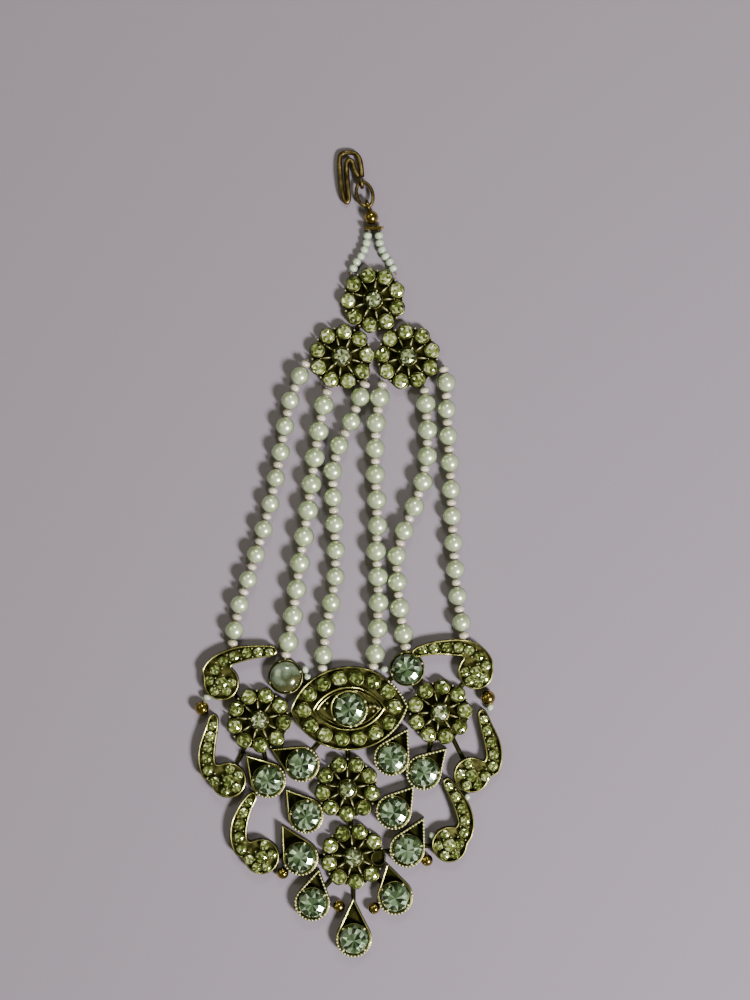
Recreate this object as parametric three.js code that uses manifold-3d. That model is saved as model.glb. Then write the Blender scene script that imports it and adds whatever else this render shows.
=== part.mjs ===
// Maang tikka of the side-worn passa form, lying flat: a wire hook and ring, two short seed-bead
// strings, a cluster of three stone flowers, six pearl strands and a wide jewelled panel.
// Millimetres. X runs across, Y along the length with the hook at +Y, and Z up from the back plates.
import * as THREE from "three";
import { mergeVertices } from "three/addons/utils/BufferGeometryUtils.js";
import Module from "manifold-3d";

const wasm = await Module();
wasm.setup();

// Overall layout
const PANEL_WIDTH = 67;
const PANEL_LENGTH = 70.5;
const CLUSTER_RISE = 81.2; // middle of the marquise to the middle of the flower cluster
const CLUSTER_SHIFT = 5.4; // the cluster lies a little to the right of the panel
const STRING_SPAN = 18; // top flower to the end ball

// Metalwork
const BACK_THICKNESS = 0.8;
const STRIP_WIDTH = 2.2; // flat strips let into the back, from setting to setting
const STRIP_THICKNESS = 0.4;
const RIM_WALL = 0.45;
const RIM_HEIGHT = 2.6;
const BED_HEIGHT = 2; // top of the pave bed inside a scroll
const SOLDER_LAP = 0.3; // how far neighbouring flowers run into each other

// Flowers
const FLOWER_STONES = 9;
const FLOWER_RING_RADIUS = 5.56;
const SMALL_STONE_WIDTH = 3.2;
const SMALL_STONE_TOP = 2.9;
const CUP_EDGE = 0.2; // metal outside a small stone
const EMPTY_CUP_TOP = 1.3;
const CENTRE_STONE_WIDTH = 3.9;
const CENTRE_STONE_SEAT = 1.7;
const CENTRE_STONE_HEIGHT = 2.9;
const CENTRE_CUP_HEIGHT = 3.1;

// Big stones and their settings
const BIG_STONE_WIDTH = 6.8;
const BIG_STONE_HEIGHT = 3.3; // from its back, which lies on the back plate
const MARQUISE_STONE_WIDTH = 7.3;
const MARQUISE_STONE_SEAT = 1.3;
const MARQUISE_STONE_HEIGHT = 3.6;
const MARQUISE_CUP_HEIGHT = 3.3;
const MARQUISE_HALF_LENGTH = 12.9;
const MARQUISE_HALF_WIDTH = 9.2;
const MARQUISE_RING_HALF_LENGTH = 10;
const MARQUISE_RING_HALF_WIDTH = 6.7;
const MARQUISE_RING_STONES = 14;
const INNER_RIM_HALF_LENGTH = 8;
const INNER_RIM_HALF_WIDTH = 4.8;
const INNER_RIM_HEIGHT = 3;
const MARQUISE_TURN = 2;

// Scrolls
const SCROLL_TIP_WIDTH = 2.2;
const SCROLL_ARM_WIDTH = 3.6;
const SCROLL_DISC_WIDTH = 7.8;

// Beads, balls and wire
const PEARL_WIDTH = 4.36;
const PEARL_PITCH = 5.8;
const SPACER_WIDTH = 2.3;
const SPACER_LENGTH = 1.45;
const SEED_WIDTH = 2;
const SEED_PITCH = 1.74;
const SEED_STRING_SPREAD = 2.35; // between the two strings at the crimp
const END_BALL_WIDTH = 3.1;
const SIDE_BALL_WIDTH = 3.2;
const LOWER_BALL_WIDTH = 2.65;
const CRIMP_SIZE = [3.7, 0.9, 1.6];
const RING_WIRE = 0.8;
const RING_HALF_LENGTH = 2.75;
const RING_HALF_WIDTH = 1.75;
const RING_TURN = 106; // the ring's long way, which runs up to the left
const HOOK_WIRE = 0.95;
const HOOK_LENGTH = 6.8; // from its eye to the bend
const HOOK_WIDTH = 4.8;
const HOOK_EYE_SHARE = 0.18; // where its wire leaves the eye, along that length
const HOOK_TURN = 10;

// Fits
const STONE_CLEARANCE = 0.1;
const BALL_CLEARANCE = 0.15;
const PIECE_GAP = 0.3;
const LINK_CLEARANCE = 0.25;
const BIG_STONE_SEAT = BACK_THICKNESS + STONE_CLEARANCE;
const EMBED = 0.05; // how far a joined form starts inside the one that carries it

// Facets
const STONE_SIDES = 10;
const SMALL_STONE_SIDES = 8;
const BEAD_SIDES = 10;
const WIRE_SIDES = 6;
const EYE_STEPS = 8;
const RING_STEPS = 14;
const HOOK_STEPS = 32;
const ARM_STEPS = 5;
const ARC_STEPS = 7;
const DISC_SIDES = 12;
const TABLE_SHARE = 0.56;
const PEARL_BARREL = 0.97; // radius of a faceted bead's two widest rings, as a share of its own
const PEARL_SHOULDER = 0.42; // where those rings lie, from its middle to its end
const THREAD_SHARE = 0.6; // groove between beads, as a share of their radius

// The panel's motifs: centres as shares of the panel's width and length, and turns in degrees
const FLOWERS = [
  { name: "left", x: -0.298, y: -0.036, turn: 34.1 },
  { name: "right", x: 0.293, y: -0.011, turn: 3.5 },
  { name: "middle", x: -0.009, y: -0.249, turn: 29.4 },
  { name: "lower", x: 0.011, y: -0.46, turn: 35.6, missing: 8 },
];
// point is the distance from the stone's centre to the setting's tip, in stone radii
const DROPS = [
  { name: "drop_1", x: -0.157, y: -0.173, turn: 154, point: 2.22 },
  { name: "drop_2", x: -0.267, y: -0.223, turn: 132, point: 2.17 },
  { name: "drop_3", x: 0.136, y: -0.154, turn: 61, point: 2.2 },
  { name: "drop_4", x: 0.241, y: -0.198, turn: 46, point: 2.17 },
  { name: "drop_5", x: -0.144, y: -0.332, turn: 128, point: 2.12 },
  { name: "drop_6", x: 0.143, y: -0.32, turn: 51, point: 2.1 },
  { name: "drop_7", x: -0.161, y: -0.463, turn: 120, point: 2.45 },
  { name: "drop_8", x: 0.187, y: -0.438, turn: 62, point: 2.35 },
  { name: "drop_9", x: -0.123, y: -0.604, turn: 79, point: 2.23 },
  { name: "drop_10", x: 0.148, y: -0.585, turn: 104, point: 2.2 },
  { name: "drop_11", x: 0.013, y: -0.716, turn: 91, point: 2.65 },
];
const ROUNDS = [
  { name: "round_left", x: -0.211, y: 0.098 },
  { name: "round_right", x: 0.187, y: 0.123 },
];
// Each scroll runs from its tip along its spine to the middle of its disc
const SCROLLS = [
  {
    name: "scroll_top_left",
    spine: [[-0.252, 0.179], [-0.302, 0.176], [-0.374, 0.165], [-0.439, 0.136], [-0.466, 0.095]],
    disc: [-0.42, 0.08],
  },
  {
    name: "scroll_top_right",
    spine: [[0.216, 0.173], [0.275, 0.187], [0.377, 0.187], [0.426, 0.164], [0.45, 0.125]],
    disc: [0.411, 0.114],
  },
  {
    name: "scroll_mid_left",
    spine: [[-0.446, -0.03], [-0.452, -0.064], [-0.466, -0.117], [-0.469, -0.164], [-0.455, -0.215]],
    disc: [-0.397, -0.223],
  },
  {
    name: "scroll_mid_right",
    spine: [[0.433, -0.015], [0.446, -0.055], [0.466, -0.108], [0.472, -0.154], [0.458, -0.2]],
    disc: [0.397, -0.207],
  },
  {
    name: "scroll_low_left",
    spine: [[-0.318, -0.273], [-0.341, -0.307], [-0.361, -0.357], [-0.364, -0.407], [-0.347, -0.45]],
    disc: [-0.289, -0.46],
  },
  {
    name: "scroll_low_right",
    spine: [[0.318, -0.229], [0.348, -0.273], [0.37, -0.314], [0.38, -0.357], [0.37, -0.405]],
    disc: [0.325, -0.423],
  },
];
const BALLS = [
  { name: "ball_left", x: -0.484, y: 0, width: SIDE_BALL_WIDTH },
  { name: "ball_right", x: 0.452, y: 0.033, width: SIDE_BALL_WIDTH },
  { name: "ball_low_left", x: -0.22, y: -0.513, width: LOWER_BALL_WIDTH },
  { name: "ball_low_right", x: 0.252, y: -0.473, width: LOWER_BALL_WIDTH },
  { name: "ball_foot_left", x: -0.036, y: -0.616, width: LOWER_BALL_WIDTH },
  { name: "ball_foot_right", x: 0.079, y: -0.622, width: LOWER_BALL_WIDTH },
];
// Flat strips soldered behind the panel, from motif to motif
const STRIPS = [
  ["marquise", "left"],
  ["marquise", "right"],
  ["marquise", "middle"],
  ["marquise", "round_left"],
  ["marquise", "round_right"],
  ["marquise", "drop_1"],
  ["marquise", "drop_3"],
  ["left", "drop_2"],
  ["right", "drop_4"],
  ["left", "scroll_top_left"],
  ["left", "scroll_mid_left"],
  ["right", "scroll_top_right"],
  ["right", "scroll_mid_right"],
  ["middle", "drop_5"],
  ["middle", "drop_6"],
  ["middle", "lower"],
  ["lower", "drop_7"],
  ["lower", "drop_8"],
  ["lower", "drop_9"],
  ["lower", "drop_10"],
  ["lower", "drop_11"],
  ["drop_7", "scroll_low_left"],
  ["drop_8", "scroll_low_right"],
];

// Routes of the pearl strands, from a flower down to the panel. Each bend is a share of the way and
// a share of the strand's length sideways, to the right when positive.
const STRAND_ROUTES = [
  {
    name: "strand_1",
    top: { on: "cluster_left", at: 187 },
    foot: { on: "scroll_top_left_arm", at: 110 },
    bends: [[0.13, -0.021], [0.32, -0.008], [0.5, 0.003], [0.78, -0.006], [0.88, -0.012]],
  },
  {
    name: "strand_2",
    top: { on: "cluster_left", at: 250 },
    foot: { on: "round_left", at: 90 },
    bends: [[0.05, -0.011], [0.24, -0.014], [0.44, -0.006], [0.65, -0.004], [0.85, 0.003]],
  },
  {
    name: "strand_3",
    top: { on: "cluster_left", at: 315 },
    foot: { on: "marquise_left_edge", at: 95 },
    bends: [[0.06, -0.014], [0.13, -0.026], [0.21, -0.055], [0.31, -0.068], [0.4, -0.054],
      [0.58, -0.017], [0.68, -0.003], [0.87, -0.009]],
  },
  {
    name: "strand_4",
    top: { on: "cluster_right", at: 225 },
    foot: { on: "marquise_right_edge", at: 90 },
    bends: [[0.13, -0.017], [0.31, -0.015], [0.49, -0.001], [0.58, -0.004], [0.68, 0.007], [0.86, 0.012]],
  },
  {
    name: "strand_5",
    top: { on: "cluster_right", at: 299 },
    foot: { on: "round_right", at: 93 },
    bends: [[0.15, 0.022], [0.26, 0.029], [0.36, 0.019], [0.45, -0.005], [0.55, -0.039],
      [0.65, -0.061], [0.75, -0.05], [0.85, -0.033]],
  },
  {
    name: "strand_6",
    top: { on: "cluster_right", at: 343 },
    foot: { on: "scroll_top_right_arm", at: 95 },
    bends: [[0.06, 0.016], [0.15, 0.008], [0.36, 0.003], [0.56, -0.007], [0.86, -0.011]],
  },
];
// Bends of the two seed strings, by the same shares, for the left one; the right one mirrors them
const SEED_BENDS = [[0.3, 0.07], [0.55, 0.06], [0.85, -0.02]];

const ANTIQUE_GOLD = new THREE.MeshStandardMaterial({ color: 0x8a7434, roughness: 0.42, metalness: 1 });
const BRIGHT_GOLD = new THREE.MeshStandardMaterial({ color: 0xd2a650, roughness: 0.22, metalness: 1 });
const DARK_WIRE = new THREE.MeshStandardMaterial({ color: 0x6a5f2e, roughness: 0.4, metalness: 1 });
const PALE_STONE = new THREE.MeshStandardMaterial({ color: 0xb9ccb4, roughness: 0.05, metalness: 0 });
const PEARL = new THREE.MeshStandardMaterial({ color: 0xdde4d4, roughness: 0.25, metalness: 0 });

const radians = THREE.MathUtils.degToRad;
const spaced = (x, y) => [x * PANEL_WIDTH, y * PANEL_LENGTH];
const ahead = ([x, y], angle, distance) => [
  x + Math.cos(radians(angle)) * distance,
  y + Math.sin(radians(angle)) * distance,
];

// A closed three.js geometry as a solid
function solid(geometry) {
  const bare = geometry.index ? geometry.toNonIndexed() : geometry.clone();
  bare.deleteAttribute("normal");
  bare.deleteAttribute("uv");
  const merged = mergeVertices(bare, 1e-4);
  const corners = [];
  for (let i = 0; i < merged.index.count; i += 3) {
    const [a, b, c] = merged.index.array.slice(i, i + 3);
    if (a !== b && b !== c && c !== a) corners.push(a, b, c);
  }
  const vertProperties = merged.attributes.position.array;
  const triVerts = new Uint32Array(corners);
  return new wasm.Manifold(new wasm.Mesh({ numProp: 3, vertProperties, triVerts }));
}

const joined = (solids) => solids.reduce((all, next) => all.add(next));

// A named mesh from a finished solid
function piece(name, made, material) {
  const mesh = made.getMesh();
  const geometry = new THREE.BufferGeometry();
  geometry.setAttribute("position", new THREE.BufferAttribute(mesh.vertProperties, 3));
  geometry.setIndex(new THREE.BufferAttribute(mesh.triVerts, 1));
  geometry.computeVertexNormals();
  const result = new THREE.Mesh(geometry, material);
  result.name = name;
  return result;
}

// A profile of radius and height turned about an upright axis at x, y, with a corner at the turn
function turned(profile, sides, [x, y] = [0, 0], turn = 0) {
  const points = profile.map(([radius, height]) => new THREE.Vector2(radius, height));
  const lathe = new THREE.LatheGeometry(points, sides, radians(turn + 90));
  return solid(lathe.rotateX(Math.PI / 2).translate(x, y, 0));
}

const drum = (radius, bottom, top, sides, centre, turn) =>
  turned([[0, bottom], [radius, bottom], [radius, top], [0, top]], sides, centre, turn);

// An outline in plan raised from one level to another
function prism(outline, bottom, top) {
  const shape = new THREE.Shape(outline.map(([x, y]) => new THREE.Vector2(x, y)));
  const geometry = new THREE.ExtrudeGeometry(shape, { depth: top - bottom, bevelEnabled: false });
  return solid(geometry.translate(0, 0, bottom));
}

const moved = (outline, [x, y], turn) =>
  outline.map((p) => {
    const [u, v] = [Math.cos(radians(turn)), Math.sin(radians(turn))];
    return [x + p[0] * u - p[1] * v, y + p[0] * v + p[1] * u];
  });

// A flat strip on the back, between two places
function strip(from, to) {
  const length = Math.hypot(to[0] - from[0], to[1] - from[1]);
  const turn = THREE.MathUtils.radToDeg(Math.atan2(to[1] - from[1], to[0] - from[0]));
  const half = STRIP_WIDTH / 2;
  const outline = [[0, -half], [length, -half], [length, half], [0, half]];
  const bottom = (BACK_THICKNESS - STRIP_THICKNESS) / 2;
  return prism(moved(outline, from, turn), bottom, bottom + STRIP_THICKNESS);
}

// A cut stone: flat back, girdle, sloping crown and table
function stoneProfile(radius, seat, height) {
  const girdle = seat + height * 0.4;
  const top = seat + height;
  return [[0, seat], [radius, seat], [radius, girdle], [radius * TABLE_SHARE, top], [0, top]];
}
const cutStone = ({ at, turn, width, seat, height, sides }) =>
  turned(stoneProfile(width / 2, seat, height), sides, at, turn);
const stonePocket = ({ at, turn, width, seat, height, sides }) =>
  drum(
    width / 2 + STONE_CLEARANCE,
    seat - STONE_CLEARANCE / 2,
    seat + height + RIM_HEIGHT,
    sides,
    at,
    turn,
  );
// The cup whose wall stands round a stone
const stoneCup = ({ at, turn, width, sides }, top, bottom = BACK_THICKNESS - EMBED) =>
  drum(width / 2 + STONE_CLEARANCE + RIM_WALL, bottom, top, sides, at, turn);

// A small stone set into the metal, with a table and eight facets
const smallStone = (at, turn, top = SMALL_STONE_TOP) => {
  const radius = SMALL_STONE_WIDTH / 2;
  const bottom = BACK_THICKNESS - EMBED;
  const profile = [[0, bottom], [radius, bottom], [radius * TABLE_SHARE, top], [0, top]];
  return turned(profile, SMALL_STONE_SIDES, at, turn + 180 / SMALL_STONE_SIDES);
};

// Nine small stones round a cup, on a back plate with a lobe behind each
const FLOWER_RADIUS = FLOWER_RING_RADIUS + SMALL_STONE_WIDTH / 2 + CUP_EDGE;
function flowerMetal({ at, turn, missing }, centre) {
  const step = 360 / FLOWER_STONES;
  const lobes = [];
  const parts = [stoneCup(centre, CENTRE_CUP_HEIGHT)];
  for (let i = 0; i < FLOWER_STONES; i++) {
    const angle = turn + i * step;
    for (const side of [-0.3, 0.3]) lobes.push(ahead(at, angle + side * step, FLOWER_RADIUS));
    const top = i === missing ? EMPTY_CUP_TOP : SMALL_STONE_TOP;
    parts.push(smallStone(ahead(at, angle, FLOWER_RING_RADIUS), angle, top));
  }
  return joined([prism(lobes, 0, BACK_THICKNESS), ...parts]);
}
const centreStone = (name, { at, turn }) => ({
  name,
  at,
  turn,
  width: CENTRE_STONE_WIDTH,
  seat: CENTRE_STONE_SEAT,
  height: CENTRE_STONE_HEIGHT,
  sides: SMALL_STONE_SIDES,
});

// A round outline drawn out to a point in the direction of the turn
function teardropOutline(at, radius, reach, turn) {
  const tangent = THREE.MathUtils.radToDeg(Math.acos(radius / reach));
  const sweep = 360 - 2 * tangent;
  const arc = Array.from({ length: STONE_SIDES + 1 }, (_, i) =>
    ahead(at, turn + tangent + (sweep * i) / STONE_SIDES, radius),
  );
  return [...arc, ahead(at, turn, reach)];
}
function teardropMetal({ at, turn, width, point }) {
  const within = width / 2 + STONE_CLEARANCE + EMBED;
  const radius = within + RIM_WALL;
  const reach = (point * width) / 2;
  const outer = teardropOutline(at, radius, reach, turn);
  // The inner outline is the outer one drawn in by the wall, so its tip stays on the same line
  const inner = teardropOutline(at, within, (reach * within) / radius, turn);
  return prism(outer, 0, RIM_HEIGHT).subtract(prism(inner, BACK_THICKNESS, RIM_HEIGHT + 1));
}

// Two arcs that meet in points at both ends
function marquiseOutline(halfLength, halfWidth, at, turn) {
  const radius = (halfLength ** 2 + halfWidth ** 2) / (2 * halfWidth);
  const half = Math.asin(halfLength / radius);
  const arc = Array.from({ length: ARC_STEPS }, (_, i) => {
    const angle = Math.PI / 2 - half + (2 * half * i) / ARC_STEPS;
    return [radius * Math.cos(angle), radius * Math.sin(angle) - (radius - halfWidth)];
  });
  return moved([...arc, ...arc.map(([x, y]) => [-x, -y])], at, turn);
}
// Places equally spaced along an ellipse
function ellipsePlaces(halfLength, halfWidth, count, at, turn) {
  const curve = new THREE.EllipseCurve(0, 0, halfLength, halfWidth);
  const places = curve.getSpacedPoints(count).slice(0, count);
  return moved(places.map((p) => [p.x, p.y]), at, turn);
}
function rimBetween(halfLength, halfWidth, at, turn, top) {
  const outer = prism(marquiseOutline(halfLength, halfWidth, at, turn), 0, top);
  const within = marquiseOutline(halfLength - RIM_WALL, halfWidth - RIM_WALL, at, turn);
  return outer.subtract(prism(within, BACK_THICKNESS, top + 1));
}
function marquiseMetal(at, stone) {
  const ring = ellipsePlaces(
    MARQUISE_RING_HALF_LENGTH, MARQUISE_RING_HALF_WIDTH, MARQUISE_RING_STONES, at, MARQUISE_TURN);
  return joined([
    rimBetween(MARQUISE_HALF_LENGTH, MARQUISE_HALF_WIDTH, at, MARQUISE_TURN, RIM_HEIGHT),
    ...ring.map((place) => smallStone(place, MARQUISE_TURN)),
    rimBetween(INNER_RIM_HALF_LENGTH, INNER_RIM_HALF_WIDTH, at, MARQUISE_TURN, INNER_RIM_HEIGHT),
    stoneCup(stone, MARQUISE_CUP_HEIGHT),
  ]);
}
// Height of the marquise's outer edge above its middle line, at a place along it
function marquiseEdge(along) {
  const radius = (MARQUISE_HALF_LENGTH ** 2 + MARQUISE_HALF_WIDTH ** 2) / (2 * MARQUISE_HALF_WIDTH);
  return Math.sqrt(radius ** 2 - along ** 2) - (radius - MARQUISE_HALF_WIDTH);
}

// A tapering arm along a spine, closed by a round tip, drawn in all round by an inset
function armOutline(spine, inset) {
  const curve = new THREE.CatmullRomCurve3(spine.map(([x, y]) => new THREE.Vector3(x, y, 0)));
  const left = [];
  const right = [];
  for (let i = 0; i <= ARM_STEPS; i++) {
    const share = i / ARM_STEPS;
    const { x, y } = curve.getPointAt(share);
    const along = curve.getTangentAt(share);
    const width = THREE.MathUtils.lerp(SCROLL_TIP_WIDTH, SCROLL_ARM_WIDTH, Math.min(1, 2 * share));
    const half = width / 2 - inset;
    left.push([x - along.y * half, y + along.x * half]);
    right.push([x + along.y * half, y - along.x * half]);
  }
  const start = curve.getPointAt(0);
  const back = curve.getTangentAt(0);
  const nose = SCROLL_TIP_WIDTH / 2 - inset;
  const tip = [start.x - back.x * nose, start.y - back.y * nose];
  return [tip, ...right, ...left.reverse()];
}
function scrollMetal({ spine, disc }) {
  const radius = SCROLL_DISC_WIDTH / 2;
  const body = prism(armOutline(spine, 0), 0, RIM_HEIGHT).add(
    drum(radius, 0, RIM_HEIGHT, DISC_SIDES, disc, 0));
  const hollow = prism(armOutline(spine, RIM_WALL), BED_HEIGHT, RIM_HEIGHT + 1).add(
    drum(radius - RIM_WALL, BED_HEIGHT, RIM_HEIGHT + 1, DISC_SIDES, disc, 0));
  return body.subtract(hollow);
}

// A whole string of beads turned in one profile, then bent along its route. The profile has rings of
// [distance along, radius], and the route is flat at one level.
function bentString(rings, curve, level) {
  const length = curve.getLength();
  const points = rings.map(([along, radius]) => new THREE.Vector2(radius, along));
  const geometry = new THREE.LatheGeometry(
    [new THREE.Vector2(0, 0), ...points, new THREE.Vector2(0, length)], BEAD_SIDES);
  const position = geometry.attributes.position;
  for (let i = 0; i < position.count; i++) {
    const share = Math.min(1, Math.max(0, position.getY(i) / length));
    const place = curve.getPointAt(share);
    const along = curve.getTangentAt(share);
    const across = position.getX(i);
    position.setXYZ(i, place.x + along.y * across, place.y - along.x * across, level + position.getZ(i));
  }
  return solid(geometry);
}
function routeBetween(start, end, bends) {
  const span = [end[0] - start[0], end[1] - start[1]];
  const between = bends.map(([way, side]) => [
    start[0] + span[0] * way - span[1] * side,
    start[1] + span[1] * way + span[0] * side,
  ]);
  const points = [start, ...between, end].map(([x, y]) => new THREE.Vector3(x, y, 0));
  const curve = new THREE.CatmullRomCurve3(points);
  curve.arcLengthDivisions = 400;
  return curve;
}
// Spacers and pearls in turn, as many as the route takes
function pearlRings(length) {
  const count = Math.round((length - SPACER_LENGTH) / PEARL_PITCH);
  const pitch = (length - SPACER_LENGTH) / count;
  const radius = PEARL_WIDTH / 2;
  const shoulder = ((pitch - SPACER_LENGTH) / 2) * PEARL_SHOULDER;
  const spacer = SPACER_WIDTH / 2;
  const rings = [[0, spacer * THREAD_SHARE], [SPACER_LENGTH / 2, spacer]];
  for (let i = 0; i < count; i++) {
    const middle = SPACER_LENGTH / 2 + (i + 0.5) * pitch;
    if (i > 0) rings.push([middle - (pitch - SPACER_LENGTH) / 2, spacer]);
    rings.push([middle - shoulder, radius * PEARL_BARREL]);
    rings.push([middle + shoulder, radius * PEARL_BARREL]);
    if (i < count - 1) rings.push([middle + (pitch - SPACER_LENGTH) / 2, spacer]);
  }
  return [...rings, [length - SPACER_LENGTH / 2, spacer], [length, spacer * THREAD_SHARE]];
}
function seedRings(length) {
  const count = Math.round(length / SEED_PITCH);
  const pitch = length / count;
  const groove = (SEED_WIDTH / 2) * THREAD_SHARE;
  const rings = [[0, groove]];
  for (let i = 0; i < count; i++) {
    rings.push([(i + 0.5) * pitch, SEED_WIDTH / 2]);
    rings.push([(i + 1) * pitch, groove]);
  }
  return rings;
}

function ball(width, at) {
  const radius = width / 2;
  const rings = [-54, -18, 18, 54].map((angle) => [
    radius * Math.cos(radians(angle)),
    radius + radius * Math.sin(radians(angle)),
  ]);
  return turned([[0, 0], ...rings, [0, width]], BEAD_SIDES, at);
}
const ballSeat = (width, at) =>
  drum(width / 2 + BALL_CLEARANCE, -1, width + RIM_HEIGHT, BEAD_SIDES, at, 0);

// A round wire along a curve
function wire(curve, width, steps) {
  const section = new THREE.Shape(
    Array.from({ length: WIRE_SIDES }, (_, i) => {
      const angle = (2 * Math.PI * i) / WIRE_SIDES;
      return new THREE.Vector2((Math.cos(angle) * width) / 2, (Math.sin(angle) * width) / 2);
    }),
  );
  return solid(new THREE.ExtrudeGeometry(section, { steps, extrudePath: curve }));
}
// A small upright eye of wire, in the plane of the given direction
function eye(radius, width, [x, y], level, turn) {
  const torus = new THREE.TorusGeometry(radius, width / 2, WIRE_SIDES, EYE_STEPS);
  return solid(torus.rotateX(Math.PI / 2).rotateZ(radians(turn)).translate(x, y, level));
}

const group = new THREE.Group();

// Motif places by name
const places = new Map([["marquise", spaced(-0.003, 0)]]);
for (const motif of [...FLOWERS, ...DROPS, ...ROUNDS]) places.set(motif.name, spaced(motif.x, motif.y));
for (const scroll of SCROLLS) places.set(scroll.name, spaced(...scroll.disc));

// Stones of the panel
const flowerStones = FLOWERS.map(({ name, turn }) =>
  centreStone("stone_" + name, { at: places.get(name), turn }),
);
const bigStone = ({ name, turn = 0 }) => ({
  name: "stone_" + name,
  at: places.get(name),
  turn,
  width: BIG_STONE_WIDTH,
  seat: BIG_STONE_SEAT,
  height: BIG_STONE_HEIGHT,
  sides: STONE_SIDES,
});
const marquiseStone = {
  name: "stone_marquise",
  at: places.get("marquise"),
  turn: MARQUISE_TURN,
  width: MARQUISE_STONE_WIDTH,
  seat: MARQUISE_STONE_SEAT,
  height: MARQUISE_STONE_HEIGHT,
  sides: STONE_SIDES,
};
const dropStones = DROPS.map(bigStone);
const roundStones = ROUNDS.map(bigStone);
const panelStones = [marquiseStone, ...roundStones, ...dropStones, ...flowerStones];

// The panel: every setting soldered to its neighbours and to the strips behind
const scrollPlaces = SCROLLS.map(({ name, spine, disc }) => ({
  name,
  spine: [...spine.map((p) => spaced(...p))],
  disc: spaced(...disc),
}));
const settings = [
  marquiseMetal(places.get("marquise"), marquiseStone),
  ...FLOWERS.map((f, i) => flowerMetal({ ...f, at: places.get(f.name) }, flowerStones[i])),
  ...roundStones.map((stone) => stoneCup(stone, RIM_HEIGHT, 0)),
  ...DROPS.map((d, i) => teardropMetal({ ...dropStones[i], point: d.point })),
  ...scrollPlaces.map(scrollMetal),
  ...STRIPS.map(([a, b]) => strip(places.get(a), places.get(b))),
];
let frame = joined(settings);
for (const stone of panelStones) frame = frame.subtract(stonePocket(stone));
for (const b of BALLS) frame = frame.subtract(ballSeat(b.width, spaced(b.x, b.y)));
group.add(piece("panel_frame", frame, ANTIQUE_GOLD));
for (const stone of panelStones) group.add(piece(stone.name, cutStone(stone), PALE_STONE));
for (const b of BALLS) group.add(piece(b.name, ball(b.width, spaced(b.x, b.y)), BRIGHT_GOLD));

// The cluster: three flowers that touch, soldered into one
const clusterReach = (2 * FLOWER_RADIUS - SOLDER_LAP) / Math.sqrt(3);
const clusterCentre = [CLUSTER_SHIFT, CLUSTER_RISE];
const clusterFlowers = [
  { name: "cluster_top", at: ahead(clusterCentre, 92, clusterReach), turn: 22 },
  { name: "cluster_left", at: ahead(clusterCentre, 210, clusterReach), turn: 4.4 },
  { name: "cluster_right", at: ahead(clusterCentre, 330, clusterReach), turn: 14.8 },
];
const clusterStones = clusterFlowers.map((f) => centreStone("stone_" + f.name, f));
let cluster = joined([
  ...clusterFlowers.map((f, i) => flowerMetal(f, clusterStones[i])),
  ...clusterFlowers.map((f, i) => strip(f.at, clusterFlowers[(i + 1) % 3].at)),
]);
for (const stone of clusterStones) cluster = cluster.subtract(stonePocket(stone));
group.add(piece("upper_cluster", cluster, ANTIQUE_GOLD));
for (const stone of clusterStones) group.add(piece(stone.name, cutStone(stone), PALE_STONE));

// What the strands start from and end at: a place, and how far the metal reaches round it
const anchors = new Map();
for (const f of clusterFlowers) anchors.set(f.name, { at: f.at, reach: FLOWER_RADIUS });
for (const stone of roundStones)
  anchors.set(stone.name.replace("stone_", ""), { at: stone.at, reach: BIG_STONE_WIDTH / 2 + RIM_WALL });
for (const { name, spine } of scrollPlaces)
  anchors.set(name + "_arm", { at: spine[2], reach: SCROLL_ARM_WIDTH / 2 });
const edgeShare = 0.43;
for (const [name, side] of [["marquise_left_edge", -1], ["marquise_right_edge", 1]]) {
  const along = side * edgeShare * MARQUISE_HALF_LENGTH;
  const [at] = moved([[along, marquiseEdge(along)]], places.get("marquise"), MARQUISE_TURN);
  anchors.set(name, { at, reach: 0 });
}
const onAnchor = ({ on, at }) => {
  const anchor = anchors.get(on);
  return ahead(anchor.at, at, anchor.reach + PIECE_GAP);
};
for (const { name, top, foot, bends } of STRAND_ROUTES) {
  const curve = routeBetween(onAnchor(top), onAnchor(foot), bends);
  const strand = bentString(pearlRings(curve.getLength()), curve, (PEARL_WIDTH / 2) * PEARL_BARREL);
  group.add(piece(name, strand, PEARL));
}

// Hook, ring, end ball and crimp above the top flower
const topFlower = clusterFlowers[0].at;
const ballAt = [topFlower[0] - 0.4, topFlower[1] + STRING_SPAN];
const eyeWire = RING_WIRE;
const eyeRadius = (RING_WIRE + eyeWire) / 2 + LINK_CLEARANCE;
const linkLevel = eyeRadius + Math.max(eyeWire, HOOK_WIRE) / 2;
// The ring's lower end passes through the eye on the ball, its upper end through the hook's eye
const ballReach = END_BALL_WIDTH / 2 + eyeRadius;
const ballEye = ahead(ballAt, RING_TURN, ballReach);
const ringCentre = ahead(ballEye, RING_TURN, RING_HALF_LENGTH);
const ringTop = ahead(ringCentre, RING_TURN, RING_HALF_LENGTH);
const endBall = ball(END_BALL_WIDTH, ballAt).add(eye(eyeRadius, eyeWire, ballEye, linkLevel, RING_TURN));
group.add(piece("end_ball", endBall, BRIGHT_GOLD));

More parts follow.
